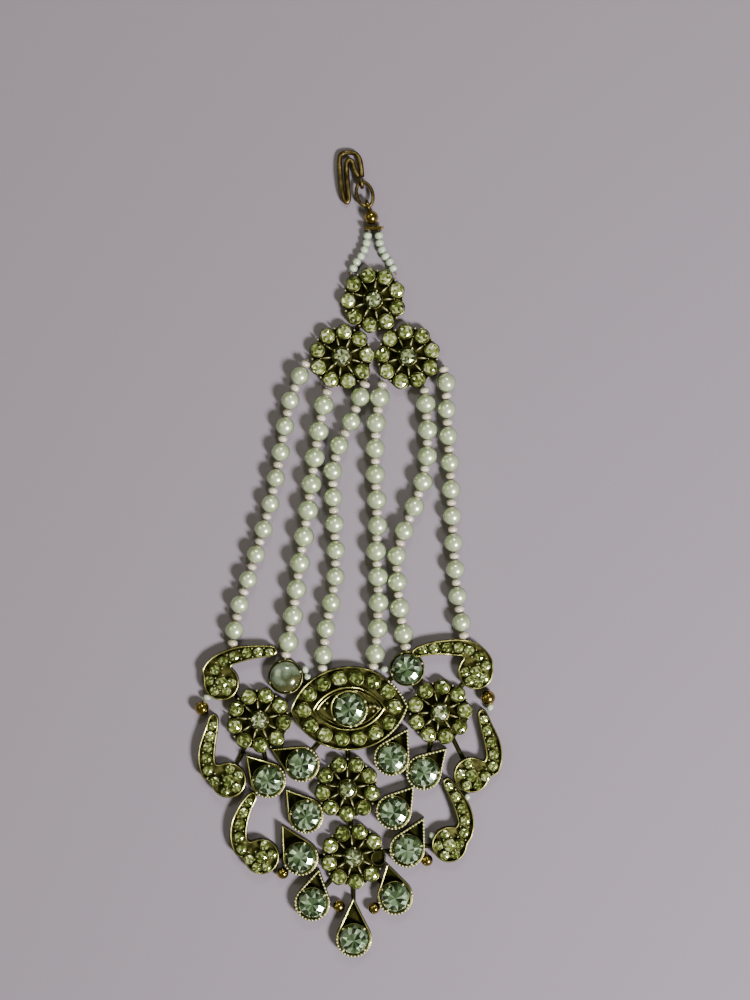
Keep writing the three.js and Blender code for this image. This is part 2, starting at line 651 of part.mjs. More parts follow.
const oval = new THREE.TorusGeometry(1, 1, WIRE_SIDES, RING_STEPS);
const ovalPosition = oval.attributes.position;
const radial = (2 * Math.PI) / WIRE_SIDES;
const around = (2 * Math.PI) / RING_STEPS;
for (let j = 0, i = 0; j <= WIRE_SIDES; j++) {
  for (let k = 0; k <= RING_STEPS; k++, i++) {
    const out = (Math.cos(j * radial) * RING_WIRE) / 2;
    const up = (Math.sin(j * radial) * RING_WIRE) / 2;
    const x = (RING_HALF_LENGTH + out) * Math.cos(k * around);
    const y = (RING_HALF_WIDTH + out) * Math.sin(k * around);
    ovalPosition.setXYZ(i, x, y, up);
  }
}
const ring = solid(oval.rotateZ(radians(RING_TURN)).translate(ringCentre[0], ringCentre[1], linkLevel));
group.add(piece("jump_ring", ring, DARK_WIRE));

// The hook: one wire doubled back on itself, folded over at the top, with both ends in its eye.
// Each row is a share of the hook's width and length from the eye, for the outer wire then the inner.
const HOOK_ROUTE = [
  { across: 0.08, along: HOOK_EYE_SHARE },
  { across: 0.12, along: 0.44 },
  { across: 0.11, along: 0.76 },
  { across: -0.04, along: 0.96 },
  { across: -0.35, along: 1.04 },
  { across: -0.66, along: 1.02 },
  { across: -0.8, along: 0.83 },
  { across: -0.87, along: 0.37 },
  { across: -0.93, along: -0.14 },
  { across: -0.92, along: -0.42 },
  { across: -0.81, along: -0.54 },
  { across: -0.68, along: -0.42 },
  { across: -0.64, along: -0.09 },
  { across: -0.57, along: 0.37 },
  { across: -0.51, along: 0.68 },
  { across: -0.36, along: 0.8 },
  { across: -0.23, along: 0.68 },
  { across: -0.19, along: 0.45 },
  { across: -0.08, along: HOOK_EYE_SHARE },
];
const hookEye = ringTop;
const hookPoints = HOOK_ROUTE.map(({ across, along }) => {
  const height = linkLevel - (linkLevel - HOOK_WIRE / 2) * Math.min(1, Math.abs(along - HOOK_EYE_SHARE));
  const [[x, y]] = moved([[across * HOOK_WIDTH, along * HOOK_LENGTH]], hookEye, HOOK_TURN);
  return new THREE.Vector3(x, y, height);
});
const hookWire = wire(new THREE.CatmullRomCurve3(hookPoints), HOOK_WIRE, HOOK_STEPS);
const hook = hookWire.add(eye(eyeRadius, HOOK_WIRE, hookEye, linkLevel, 90 + HOOK_TURN));
group.add(piece("hook", hook, DARK_WIRE));

const crimpAt = [ballAt[0] + 0.4, ballAt[1] - END_BALL_WIDTH / 2 - CRIMP_SIZE[1] / 2 - PIECE_GAP];
const crimp = solid(new THREE.BoxGeometry(...CRIMP_SIZE).translate(...crimpAt, END_BALL_WIDTH / 2));
group.add(piece("crimp", crimp, DARK_WIRE));

for (const [name, side] of [["seed_string_left", -1], ["seed_string_right", 1]]) {
  const start = [
    crimpAt[0] + (side * SEED_STRING_SPREAD) / 2,
    crimpAt[1] - CRIMP_SIZE[1] / 2 - PIECE_GAP,
  ];
  const end = ahead(topFlower, 90 - side * 36, FLOWER_RADIUS + PIECE_GAP);
  const curve = routeBetween(start, end, SEED_BENDS.map(([way, bend]) => [way, bend * -side]));
  group.add(piece(name, bentString(seedRings(curve.getLength()), curve, SEED_WIDTH / 2), PEARL));
}

// The origin is the middle of the underside
const bounds = new THREE.Box3().setFromObject(group);
const middle = bounds.getCenter(new THREE.Vector3());
group.position.set(-middle.x, -middle.y, -bounds.min.z);

export default group;
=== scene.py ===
"""Side-worn maang tikka lying flat: pearls, foiled stones and antique gold round the construction frame."""
import math
import random

import bpy
from bpy.props import FloatProperty, FloatVectorProperty, IntProperty, PointerProperty
from mathutils import Euler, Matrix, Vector


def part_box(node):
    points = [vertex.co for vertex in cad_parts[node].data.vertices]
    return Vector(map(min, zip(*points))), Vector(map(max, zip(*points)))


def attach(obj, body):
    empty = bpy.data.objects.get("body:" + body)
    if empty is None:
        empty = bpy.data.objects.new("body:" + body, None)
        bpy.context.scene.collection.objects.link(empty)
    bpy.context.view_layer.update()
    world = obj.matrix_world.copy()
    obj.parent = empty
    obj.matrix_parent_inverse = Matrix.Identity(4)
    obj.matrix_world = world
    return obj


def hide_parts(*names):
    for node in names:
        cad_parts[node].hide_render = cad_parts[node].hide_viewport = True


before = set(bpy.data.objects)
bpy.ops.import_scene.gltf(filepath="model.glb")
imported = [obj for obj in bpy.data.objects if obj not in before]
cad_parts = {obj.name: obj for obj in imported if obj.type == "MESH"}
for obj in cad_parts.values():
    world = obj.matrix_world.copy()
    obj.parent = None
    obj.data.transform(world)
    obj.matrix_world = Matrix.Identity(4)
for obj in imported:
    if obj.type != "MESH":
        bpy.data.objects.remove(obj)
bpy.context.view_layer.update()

bl_info = {
    "name": "Passa tikka finish",
    "version": (1, 0, 0),
    "blender": (4, 5, 0),
    "location": "3D View > Sidebar > Tikka",
    "description": "Makes the metalwork, stones, pearls and beads of a side-worn maang tikka",
    "category": "Add Mesh",
}

MM = 0.001
PANEL_WIDTH = 67 * MM
PANEL_LENGTH = 70.5 * MM
# How far rims and prongs stand in their back plate
SUNK = 0.1 * MM
# The underside of a small stone
SMALL_SEAT = 1.35 * MM
# Beads of a beaded edge lie this far apart
BEADING = 0.76 * MM

# Each flower: the node of its middle stone, its turn in degrees and the number of its lost stone
FLOWERS = [
    ("stone_left", 34.1, None),
    ("stone_right", 3.5, None),
    ("stone_middle", 29.4, None),
    ("stone_lower", 35.6, 8),
]
CLUSTER = [
    ("stone_cluster_top", 22, None),
    ("stone_cluster_left", 4.4, None),
    ("stone_cluster_right", 14.8, None),
]
# Drop settings 1 to 11: the turn in degrees, and how far the tip lies from the stone's middle, in radii
DROPS = [
    (154, 2.22), (132, 2.17), (61, 2.2), (46, 2.17), (128, 2.12), (51, 2.1), (120, 2.45), (62, 2.35),
    (79, 2.23), (104, 2.2), (91, 2.65),
]
ROUNDS = ["stone_round_left", "stone_round_right"]
SMOOTH_STONE = "stone_round_left"
# Each scroll runs from its tip along its spine to its disc; its stones follow, all in shares of the
# panel's width and length.
SCROLLS = {
    "scroll_top_left": {
        "spine": [(-0.252, 0.179), (-0.302, 0.176), (-0.374, 0.165), (-0.439, 0.136), (-0.466, 0.095)],
        "disc": (-0.42, 0.08),
        "arm_stones": [(-0.264, 0.174), (-0.3, 0.175), (-0.338, 0.172), (-0.379, 0.162), (-0.414, 0.148),
                       (-0.444, 0.124)],
        "disc_stones": [(-0.459, 0.088), (-0.387, 0.08), (-0.443, 0.055), (-0.404, 0.055)],
    },
    "scroll_top_right": {
        "spine": [(0.216, 0.173), (0.275, 0.187), (0.377, 0.187), (0.426, 0.164), (0.45, 0.125)],
        "disc": (0.411, 0.114),
        "arm_stones": [(0.238, 0.181), (0.274, 0.187), (0.316, 0.189), (0.355, 0.189), (0.39, 0.181),
                       (0.422, 0.162), (0.448, 0.135)],
        "disc_stones": [(0.376, 0.114), (0.44, 0.095), (0.42, 0.08), (0.39, 0.086)],
    },
    "scroll_mid_left": {
        "spine": [(-0.446, -0.03), (-0.452, -0.064), (-0.466, -0.117), (-0.469, -0.164), (-0.455, -0.215)],
        "disc": (-0.397, -0.223),
        "arm_stones": [(-0.448, -0.053), (-0.457, -0.086), (-0.465, -0.12), (-0.468, -0.155),
                       (-0.464, -0.192), (-0.447, -0.226)],
        "disc_stones": [(-0.393, -0.188), (-0.365, -0.208), (-0.372, -0.246), (-0.408, -0.258)],
    },
    "scroll_mid_right": {
        "spine": [(0.433, -0.015), (0.446, -0.055), (0.466, -0.108), (0.472, -0.154), (0.458, -0.2)],
        "disc": (0.397, -0.207),
        "arm_stones": [(0.437, -0.034), (0.448, -0.068), (0.462, -0.105), (0.47, -0.143), (0.468, -0.179),
                       (0.449, -0.212)],
        "disc_stones": [(0.388, -0.172), (0.362, -0.203), (0.418, -0.24), (0.382, -0.239)],
    },
    "scroll_low_left": {
        "spine": [(-0.318, -0.273), (-0.341, -0.307), (-0.361, -0.357), (-0.364, -0.407), (-0.347, -0.45)],
        "disc": (-0.289, -0.46),
        "arm_stones": [(-0.331, -0.291), (-0.348, -0.323), (-0.36, -0.36), (-0.362, -0.4),
                       (-0.354, -0.437), (-0.334, -0.469)],
        "disc_stones": [(-0.279, -0.425), (-0.254, -0.454), (-0.272, -0.492), (-0.306, -0.494)],
    },
    "scroll_low_right": {
        "spine": [(0.318, -0.229), (0.348, -0.273), (0.37, -0.314), (0.38, -0.357), (0.37, -0.405)],
        "disc": (0.325, -0.423),
        "arm_stones": [(0.323, -0.243), (0.346, -0.274), (0.366, -0.311), (0.376, -0.348), (0.373, -0.386),
                       (0.361, -0.42)],
        "disc_stones": [(0.311, -0.39), (0.289, -0.425), (0.309, -0.456), (0.344, -0.452)],
    },
}
# Grains of gold beside the marquise's stone, in mm from its middle
MARQUISE_GRAINS = [
    (-6.6, 0.5), (-5.4, 0), (-4.7, 1.1), (4.6, 0.4), (5.3, -0.6), (5.6, 0.5), (6.3, 0.1), (7, -0.1),
]
# Flat strips let into the back, from setting to setting
STRIPS = [
    ("marquise", "left"), ("marquise", "right"), ("marquise", "middle"), ("marquise", "round_left"),
    ("marquise", "round_right"), ("marquise", "drop_1"), ("marquise", "drop_3"), ("left", "drop_2"),
    ("right", "drop_4"), ("left", "scroll_top_left"), ("left", "scroll_mid_left"),
    ("right", "scroll_top_right"), ("right", "scroll_mid_right"), ("middle", "drop_5"),
    ("middle", "drop_6"), ("middle", "lower"), ("lower", "drop_7"), ("lower", "drop_8"),
    ("lower", "drop_9"), ("lower", "drop_10"), ("lower", "drop_11"), ("drop_7", "scroll_low_left"),
    ("drop_8", "scroll_low_right"),
]
GOLD_BALLS = [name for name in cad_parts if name.startswith("ball_")]
STRANDS = sorted(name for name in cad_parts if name.startswith("strand_"))
# How much larger or smaller than usual each strand's pearls are
PEARL_GRADES = dict(zip(STRANDS, (0.95, 1.04, 0.97, 1.02, 1.01, 0.96)))
SEED_STRINGS = sorted(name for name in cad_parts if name.startswith("seed_string"))
# Small joiner beads threaded between settings, in shares of the panel
JOINERS = [
    (-0.468, 0.033), (0.46, 0.002), (-0.146, 0.12), (-0.138, 0.097), (0.112, 0.12), (0.384, -0.276),
    (0.269, -0.398),
]
JOINER_SIZE, JOINER_LEVEL = (1.8 * MM, 1.8 * MM, 1.4 * MM), 1.2 * MM
# Turn in radians that lays a joiner bead nearly flat on its side
JOINER_TILT = 1.35
# The hook's wire from its eye, over the bend, down, back up inside itself and down to the eye, in shares
# of the hook's width and length
HOOK_ROUTE = [
    (0.08, 0.18), (0.12, 0.44), (0.11, 0.76), (-0.04, 0.96), (-0.35, 1.04), (-0.66, 1.02), (-0.8, 0.83),
    (-0.87, 0.37), (-0.93, -0.14), (-0.92, -0.42), (-0.81, -0.54), (-0.68, -0.42), (-0.64, -0.09),
    (-0.57, 0.37), (-0.51, 0.68), (-0.36, 0.8), (-0.23, 0.68), (-0.19, 0.45), (-0.08, 0.18),
]
# Where the ring's middle lies above the surface, its long and short radius, and its wire
RING_LEVEL = 1.525 * MM
RING = (2.75 * MM, 1.75 * MM, 0.8 * MM)
# Radius of the wire eyes of the hook and of the end ball
EYE = 1.05 * MM
HOOK_WIDTH, HOOK_LENGTH, HOOK_WIRE = 4.8 * MM, 6.8 * MM, 1.08 * MM
# From the marquise's middle to the image's middle, right and well above
IMAGE_MIDDLE = (5.7 * MM, 45.65 * MM)
# Round lamps: the place in metres, the width, the watts and the colour, all aimed at one place
LIGHTS = {
    "key": ((0.42, -0.36, 0.56), 0.18, 13.5, (1, 0.96, 1)),
    "top": ((0.08, 0.5, 0.6), 0.14, 1.8, (1, 0.98, 0.93)),
    "fill": ((-0.5, 0.2, 0.6), 0.5, 0.9, (0.95, 1, 0.7)),
}
LIT = (0, -0.01, 0)
# The surroundings' colour and strength
SKY = ((0.96, 1, 0.55, 1), 0.13)


def in_mm(name, description, default):
    """A length property with its default in mm."""
    return FloatProperty(name=name, description=description, default=default * MM, unit="LENGTH")


def swatch(name, description, default):
    """A colour property."""
    return FloatVectorProperty(
        name=name, description=description, subtype="COLOR", size=3, min=0, max=1, default=default)


class TikkaMetal(bpy.types.PropertyGroup):
    back: in_mm("Back plate", "Thickness of the back plates", 0.8)
    rim_top: in_mm("Rim height", "Top of the settings' rims", 2.6)
    rim_wall: in_mm("Rim wall", "Thickness of a rim", 0.36)
    cup_wall: in_mm("Cup wall", "Thickness of a small stone's cup", 0.17)
    grain: in_mm("Grain", "Width of a solder grain or claw", 0.62)
    ring_turn: FloatProperty(
        name="Ring turn", description="Degrees to the ring's long way", default=106)
    gold: swatch("Worn gold", "Colour of the gold where it is rubbed bright", (0.44, 0.425, 0.13))
    # This dark colour is tarnish, and also painted shade on the flowers' and drops' back plates and the
    # strips
    tarnish: swatch("Tarnish", "Colour of the oxidised metal in the recesses", (0.018, 0.019, 0.004))


class TikkaStones(bpy.types.PropertyGroup):
    petals: IntProperty(name="Flower stones", description="Small stones round a flower", default=9)
    ring: in_mm("Flower ring", "Radius through the middles of a flower's small stones", 5.56)
    small: in_mm("Small stone", "Width of a small stone", 3.15)
    pave: in_mm("Pave stone", "Width of a stone in a scroll", 2.3)
    ring_count: IntProperty(
        name="Marquise stones", description="Small stones round the marquise", default=14)


class TikkaBeads(bpy.types.PropertyGroup):
    pearl: in_mm("Pearl", "Width of a pearl", 4.36)
    spacer: in_mm("Spacer", "Width of a spacer", 2.3)
    spacer_length: in_mm("Spacer length", "Length of a spacer", 1.5)
    seed: in_mm("Seed bead", "Width of a seed bead", 2)
    seed_length: in_mm("Seed length", "Length of a seed bead", 1.68)
    thread: in_mm("Thread", "Width of the thread", 0.4)


class TikkaStage(bpy.types.PropertyGroup):
    height: in_mm("Camera height", "Camera above the surface", 460)
    view_length: in_mm("View", "Length of surface from the top to the bottom of the image", 220)
    floor: swatch("Floor", "Colour of the surface", (0.225, 0.197, 0.23))


# Colours and materials


def tint(text):
    """An sRGB hex colour as linear red, green, blue and alpha."""
    levels = [int(text[i:i + 2], 16) / 255 for i in (1, 3, 5)]
    return tuple(v / 12.92 if v <= 0.04045 else ((v + 0.055) / 1.055) ** 2.4 for v in levels) + (1.0,)


def add(tree, kind, sockets=None, **settings):
    """A new node of that kind, with its settings, and its input sockets set or linked."""
    node = tree.nodes.new(kind)
    for name, value in settings.items():
        setattr(node, name, value)
    for key, value in (sockets or {}).items():
        if isinstance(value, bpy.types.NodeSocket):
            tree.links.new(value, node.inputs[key])
        else:
            node.inputs[key].default_value = value
    return node


def ramp(tree, factor, stops):
    """A colour ramp over a factor, from (position, sRGB hex colour) stops."""
    node = add(tree, "ShaderNodeValToRGB", {"Fac": factor})
    elements = node.color_ramp.elements
    while len(elements) < len(stops):
        elements.new(0.5)
    for element, (position, colour) in zip(elements, stops):
        element.position = position
        element.color = tint(colour)
    return node.outputs["Color"]


def reckoned(tree, operation, a, b, clamp=False):
    return add(tree, "ShaderNodeMath", {0: a, 1: b}, operation=operation, use_clamp=clamp).outputs[0]


def read(tree, name):
    """An attribute of the mesh: the tone of a face, or the shade of one of many."""
    return add(tree, "ShaderNodeAttribute", attribute_name=name).outputs["Fac"]


def cloud(tree, scale, detail=2.0):
    """Noise through the object, with so many clouds to the mm."""
    place = add(tree, "ShaderNodeTexCoord").outputs["Object"]
    noise = add(tree, "ShaderNodeTexNoise", {"Vector": place, "Scale": scale / MM, "Detail": detail})
    return noise.outputs["Fac"]


def mixed(tree, share, first, second):
    return add(tree, "ShaderNodeMix", {0: share, 6: first, 7: second}, data_type="RGBA").outputs[2]


def edged(tree, face, edge):
    """Painted edge shade: a colour that gives way to a darker one where the surface turns from the eye."""
    rim = add(tree, "ShaderNodeLayerWeight", {"Blend": 0.45}).outputs["Facing"]
    return mixed(tree, rim, face, tint(edge))


def bump(tree, shader, height, strength):
    node = add(tree, "ShaderNodeBump", {"Height": height, "Strength": strength, "Distance": 0.05 * MM})
    tree.links.new(node.outputs[0], shader.inputs["Normal"])


def surface(tree, shader, colour, values):
    """Links the shader's colour and sets uniform values on its own sockets."""
    tree.links.new(colour, shader.inputs["Base Color"])
    for name, value in values.items():
        shader.inputs[name].default_value = value


def material(name, build):
    """A node material, made once, whose shader the build function fills in."""
    made = bpy.data.materials.get(name)
    if made:
        return made
    made = bpy.data.materials.new(name)
    made.use_nodes = True
    shader = made.node_tree.nodes["Principled BSDF"]
    build(made.node_tree, shader)
    return made


def worn_metal(name, bright, dark, roughness, spread):
    """Gold that is bright where it is rubbed: by each face's tone, and in patches over a spread of tones;
    some low tones are painted shade.
    """

    def build(tree, shader):
        uneven = reckoned(tree, "SUBTRACT", cloud(tree, 0.6, 5.0), 0.5)
        shift = reckoned(tree, "MULTIPLY", uneven, spread)
        # The tone carries wear and tarnish, and on some plates and strips painted shade
        rubbed = reckoned(tree, "ADD", read(tree, "tone"), shift, clamp=True)
        share = reckoned(tree, "POWER", rubbed, 2.0)
        surface(tree, shader, mixed(tree, share, dark, bright), {"Metallic": 1.0})
        rough = add(tree, "ShaderNodeMapRange",
                    {"Value": share, "To Min": roughness + 0.25, "To Max": roughness})
        tree.links.new(rough.outputs[0], shader.inputs["Roughness"])
        bump(tree, shader, cloud(tree, 3, 3.0), 0.35)

    return material(name, build)


def antique_gold():
    """Cast brass, gold plated and blackened, then buffed: black in the hollows, bright on the edges; that
    black is also painted shade on some back plates and strips.
    """
    sizes = bpy.context.scene.tikka_metal
    return worn_metal("blackened and buffed gold plate with painted shade", (*sizes.gold, 1), (*sizes.tarnish, 1), 0.24, 1.7)


def rubbed_gold():
    """Solder grains and claws, rubbed bright all over, with a painted highlight: gold whitened to a pale
    silvery colour, with small dark flecks.
    """
    sizes = bpy.context.scene.tikka_metal
    # Painted highlight: the gold is whitened here to stand for the shine on these small round grains
    pale = tuple(min(1.0, 1.1 * level + 0.22) for level in sizes.gold)
    # Grains carry no tone, so the pale gold is given where other metals have their dark colour
    return worn_metal("rubbed gold grains with painted highlight", (*sizes.tarnish, 1), (*pale, 1), 0.2, 0.9)


def bright_gold():
    """Turned and polished balls, gold plated: glossy and warm, with brown patches of wear."""
    return worn_metal("polished copper gold plate", tint("#b39c52"), tint("#3a3112"), 0.12, 1.8)


def wire_gold():
    """Drawn wire, gold plated and darkened by wear: olive brown with clean highlights."""
    return worn_metal("darkened gold wire", tint("#ab975c"), tint("#372e14"), 0.2, 1.8)


def foiled_glass(name, stops):
    """Cut glass over a foil under a clear gloss: every facet has a tone of its own, a painted reflection of
    the foil, from dark to white painted glints.
    """

    def build(tree, shader):
        uneven = reckoned(tree, "SUBTRACT", read(tree, "shade"), 0.5)
        shift = reckoned(tree, "MULTIPLY", uneven, 0.3)
        share = reckoned(tree, "ADD", read(tree, "tone"), shift, clamp=True)
        surface(tree, shader, ramp(tree, share, stops), {
            "Metallic": 0.55, "Roughness": 0.09, "IOR": 1.52, "Coat Weight": 1.0, "Coat Roughness": 0.02})

    return material(name, build)


def pale_glass():
    """The big stones, clear glass cut over a silvery foil: facets painted pale grey green, with painted dark
    streaks and white painted glints.
    """
    return foiled_glass("pale foiled glass", [
        (0.0, "#22301a"), (0.3, "#5c7650"), (0.6, "#9eb692"), (0.8, "#dcecd4"), (1.0, "#ffffff")])


def olive_glass():
    """The panel's small stones, yellow green glass over a foil: facets painted olive, with near-white
    painted glints.
    """
    return foiled_glass("olive foiled glass", [
        (0.0, "#1c2408"), (0.3, "#5c6a2b"), (0.58, "#9aa855"), (0.8, "#dae4a8"), (1.0, "#fffff0")])


def lime_glass():
    """The upper flowers' small stones, the same glass over a cleaner foil: painted paler, with more painted
    glints.
    """
    return foiled_glass("lime foiled glass", [
        (0.0, "#20260a"), (0.28, "#728036"), (0.53, "#bccb78"), (0.75, "#f4f8cc"), (1.0, "#fffff6")])


def spring_glass():
    """The flowers' middle stones, faintly tinted glass over a bright foil: painted pale olive, half of it
    white painted glints.
    """
    return foiled_glass("pale olive foiled glass", [
        (0.0, "#343d1c"), (0.28, "#7c8a55"), (0.52, "#bcca94"), (0.75, "#f2f8dc"), (1.0, "#ffffff")])


def moonstone_glass():
    """The one smooth stone, a dome of clear glass with painted reflections: grey green above, olive brown at
    its lower right, where it mirrors its gold rim.
    """

    def build(tree, shader):
        place = add(tree, "ShaderNodeTexCoord").outputs["Object"]
        middle = (*middle_of(SMOOTH_STONE), 0)
        away = add(tree, "ShaderNodeVectorMath", {0: place, 1: middle}, operation="SUBTRACT")
        # Painted reflection and shade: the colour darkens towards the lower right, where the dome mirrors
        # its gold rim in olive brown
        slope = add(tree, "ShaderNodeVectorMath", {0: away.outputs[0], 1: (0.055 / MM, -0.07 / MM, 0)},
                    operation="DOT_PRODUCT")
        share = reckoned(tree, "ADD", slope.outputs["Value"], cloud(tree, 0.5, 3.0))
        stops = [(0.15, "#a4b2a0"), (0.42, "#717f68"), (0.64, "#43492c"), (0.88, "#57522d")]
        surface(tree, shader, ramp(tree, share, stops), {
            "Metallic": 0.4, "Roughness": 0.18, "Coat Weight": 1.0, "Coat Roughness": 0.03})

    return material("smooth clear glass", build)


def pearl_lustre():
    """Pearl coating over a moulded bead: ivory green, glossy, with painted shade turning it darker and
    greener at its edge.
    """

    def build(tree, shader):
        face = ramp(tree, cloud(tree, 0.3, 3.0), [(0.3, "#c0d2a2"), (0.7, "#e4f2cc")])
        surface(tree, shader, edged(tree, face, "#56662e"), {
            "Metallic": 0.5, "Roughness": 0.27, "IOR": 1.6, "Coat Weight": 1.0, "Coat Roughness": 0.06})
        bump(tree, shader, cloud(tree, 2.2), 0.12)

    return material("pearl lustre", build)


def bead_glass(name, pale, deep, edge):
    """Pressed opal glass, glossy, of an uneven colour, with painted shade darker at a bead's edges."""

    def build(tree, shader):
        face = ramp(tree, cloud(tree, 0.5), [(0.35, deep), (0.65, pale)])
        surface(tree, shader, edged(tree, face, edge), {
            "Roughness": 0.2, "Specular IOR Level": 0.8, "Coat Weight": 1.0, "Coat Roughness": 0.08})

    return material(name, build)


def seed_glass():
    """The seed beads: whitish green opal glass."""
    # The last colour is the painted shade at the beads' edges
    return bead_glass("opal seed glass", "#ccdac2", "#a9ba9b", "#5b6742")


def spacer_glass():
    """The spacers between pearls: cream glass with a faint pink in it."""
    # The last colour is the painted shade at the beads' edges
    return bead_glass("cream spacer glass", "#dcd5c4", "#beb39a", "#6b6140")


def waxed_thread():
    """Twisted nylon thread: dull, brownish, with a fine twist."""

    def build(tree, shader):
        place = add(tree, "ShaderNodeTexCoord").outputs["Object"]
        twist = add(tree, "ShaderNodeTexWave", {"Vector": place, "Scale": 1.2 / MM, "Distortion": 1.0})
        surface(tree, shader, ramp(tree, twist.outputs["Fac"], [(0.2, "#4a4328"), (0.8, "#857a52")]),
                {"Roughness": 0.6})

    return material("waxed thread", build)


def plain_floor():
    """Matt seamless paper: one pale mauve grey with the faintest tooth."""
    paper = bpy.context.scene.tikka_stage.floor

    def build(tree, shader):
        shader.inputs["Base Color"].default_value = (*paper, 1)
        shader.inputs["Roughness"].default_value = 0.85
        bump(tree, shader, cloud(tree, 0.8), 0.1)

    return material("matt paper", build)


# Shapes in plan and solid


def ahead(at, turn, distance):
    """The place a distance from another, at a turn in degrees."""
    return (at[0] + math.cos(math.radians(turn)) * distance, at[1] + math.sin(math.radians(turn)) * distance)


def middle_of(node):
    low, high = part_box(node)
    return ((low[0] + high[0]) / 2, (low[1] + high[1]) / 2)


def half_width(node):
    low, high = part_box(node)
    return max(high[0] - low[0], high[1] - low[1]) / 2


def panel_place(x, y):
    """A place given in shares of the panel, whose middle lies by the marquise's stone."""
    marquise = middle_of("stone_marquise")
    return (marquise[0] + (x + 0.003) * PANEL_WIDTH, marquise[1] + y * PANEL_LENGTH)


def circle(at, radius, count):
    return [ahead(at, 360 * i / count, radius) for i in range(count)]


def normals_of(outline):
    """Outward normals of a closed counter-clockwise outline, longer at corners so that walls stay even."""
    count = len(outline)
    found = []
    for i, point in enumerate(outline):
        before = Vector(point) - Vector(outline[i - 1])
        after = Vector(outline[(i + 1) % count]) - Vector(point)
        a = Vector((before.y, -before.x)).normalized()
        b = Vector((after.y, -after.x)).normalized()
        normal = (a + b).normalized()
        found.append(normal / max(0.45, normal.dot(a)))
    return found


def offset(outline, distance):
    return [(p[0] + n.x * distance, p[1] + n.y * distance) for p, n in zip(outline, normals_of(outline))]


def teardrop(at, radius, reach, turn, count=40):
    """A round outline drawn out to a point in the direction of the turn."""
    tangent = math.degrees(math.acos(radius / reach))
    sweep = 360 - 2 * tangent
    arc = [ahead(at, turn + tangent + sweep * i / count, radius) for i in range(count + 1)]
    tip = ahead(at, turn, reach)
    sides = 5
    down = [tuple(Vector(arc[-1]).lerp(Vector(tip), i / sides)) for i in range(1, sides + 1)]
    back = [tuple(Vector(tip).lerp(Vector(arc[0]), i / sides)) for i in range(1, sides)]
    return arc + down + back


def eye_outline(at, half_length, half_height, turn, count=28):
    """Two arcs that meet in points at both ends."""
    radius = (half_length**2 + half_height**2) / (2 * half_height)
    half = math.asin(half_length / radius)
    arc = []
    for i in range(count):
        angle = math.pi / 2 - half + 2 * half * i / count
        arc.append((radius * math.cos(angle), radius * math.sin(angle) - (radius - half_height)))
    both = arc + [(-x, -y) for x, y in arc]
    c, s = math.cos(math.radians(turn)), math.sin(math.radians(turn))
    return [(at[0] + x * c - y * s, at[1] + x * s + y * c) for x, y in both]


def length_of(points):
    return sum((q - p).length for p, q in zip(points, points[1:]))


def evenly(points, steps, number):
    """The first places, so many of them, that divide a line through points into even steps."""
    gone = [0.0]
    for p, q in zip(points, points[1:]):
        gone.append(gone[-1] + (q - p).length)
    places, k = [], 0
    for i in range(number):
        want = gone[-1] * i / steps
        while k < len(gone) - 2 and gone[k + 1] < want:
            k += 1
        share = (want - gone[k]) / max(1e-9, gone[k + 1] - gone[k])
        places.append(points[k].lerp(points[k + 1], share))
    return places


def smooth_route(points, steps):
    """A smooth route through a few points, as places that divide it into even steps."""
    padded = [points[0], *points, points[-1]]
    dense = []
    for i in range(1, len(padded) - 2):
        a, b, c, d = (Vector(p) for p in padded[i - 1:i + 3])
        for t in (k / 24 for k in range(24)):
            dense.append(0.5 * ((2 * b) + (c - a) * t + (2 * a - 5 * b + 4 * c - d) * t * t
                                + (3 * b - a - 3 * c + d) * t**3))
    dense.append(Vector(points[-1]))
    return evenly(dense, steps, steps + 1)


def softened(outline, step, rounds):
    """An outline with evenly spaced points and rounded corners."""
    closed = [Vector(p) for p in (*outline, outline[0])]
    count = int(length_of(closed) / step)
    even = evenly(closed, count, count)
    for _ in range(rounds):
        even = [(even[i - 1] + 2 * even[i] + even[(i + 1) % count]) / 4 for i in range(count)]
    return [tuple(p) for p in even]


def comma_outline(scroll):
    """A scroll in plan: a round-ended arm that widens along its spine and runs into a disc."""
    tip, arm, radius = 1.1 * MM, 1.8 * MM, 3.9 * MM
    disc = Vector(panel_place(*scroll["disc"]))
    steps = 30
    route = smooth_route([panel_place(*p) for p in scroll["spine"]], steps)
    right, left = [], []
    for i, place in enumerate(route):
        along = (route[min(i + 1, steps)] - route[max(i - 1, 0)]).normalized()
        half = tip + (arm - tip) * min(1, 2 * i / steps)
        for side, points in ((1, right), (-1, left)):
            point = place + Vector((along.y, -along.x)) * half * side
            if (point - disc).length > radius * 1.01 and (not points or i < steps):
                points.append(point)
    start = (route[1] - route[0]).normalized()
    outward = math.degrees(math.atan2(-start.y, -start.x))
    cap = [ahead(route[0], outward + turn, tip) for turn in (-60, -30, 0, 30, 60)]
    enter, leave = (math.atan2(p.y - disc.y, p.x - disc.x) for p in (right[-1], left[-1]))
    sweep = (leave - enter) % (2 * math.pi)
    arc = [ahead(disc, math.degrees(enter + sweep * i / 36), radius) for i in range(1, 36)]
    return softened([*cap, *right, *arc, *reversed(left)], 0.35 * MM, 7)


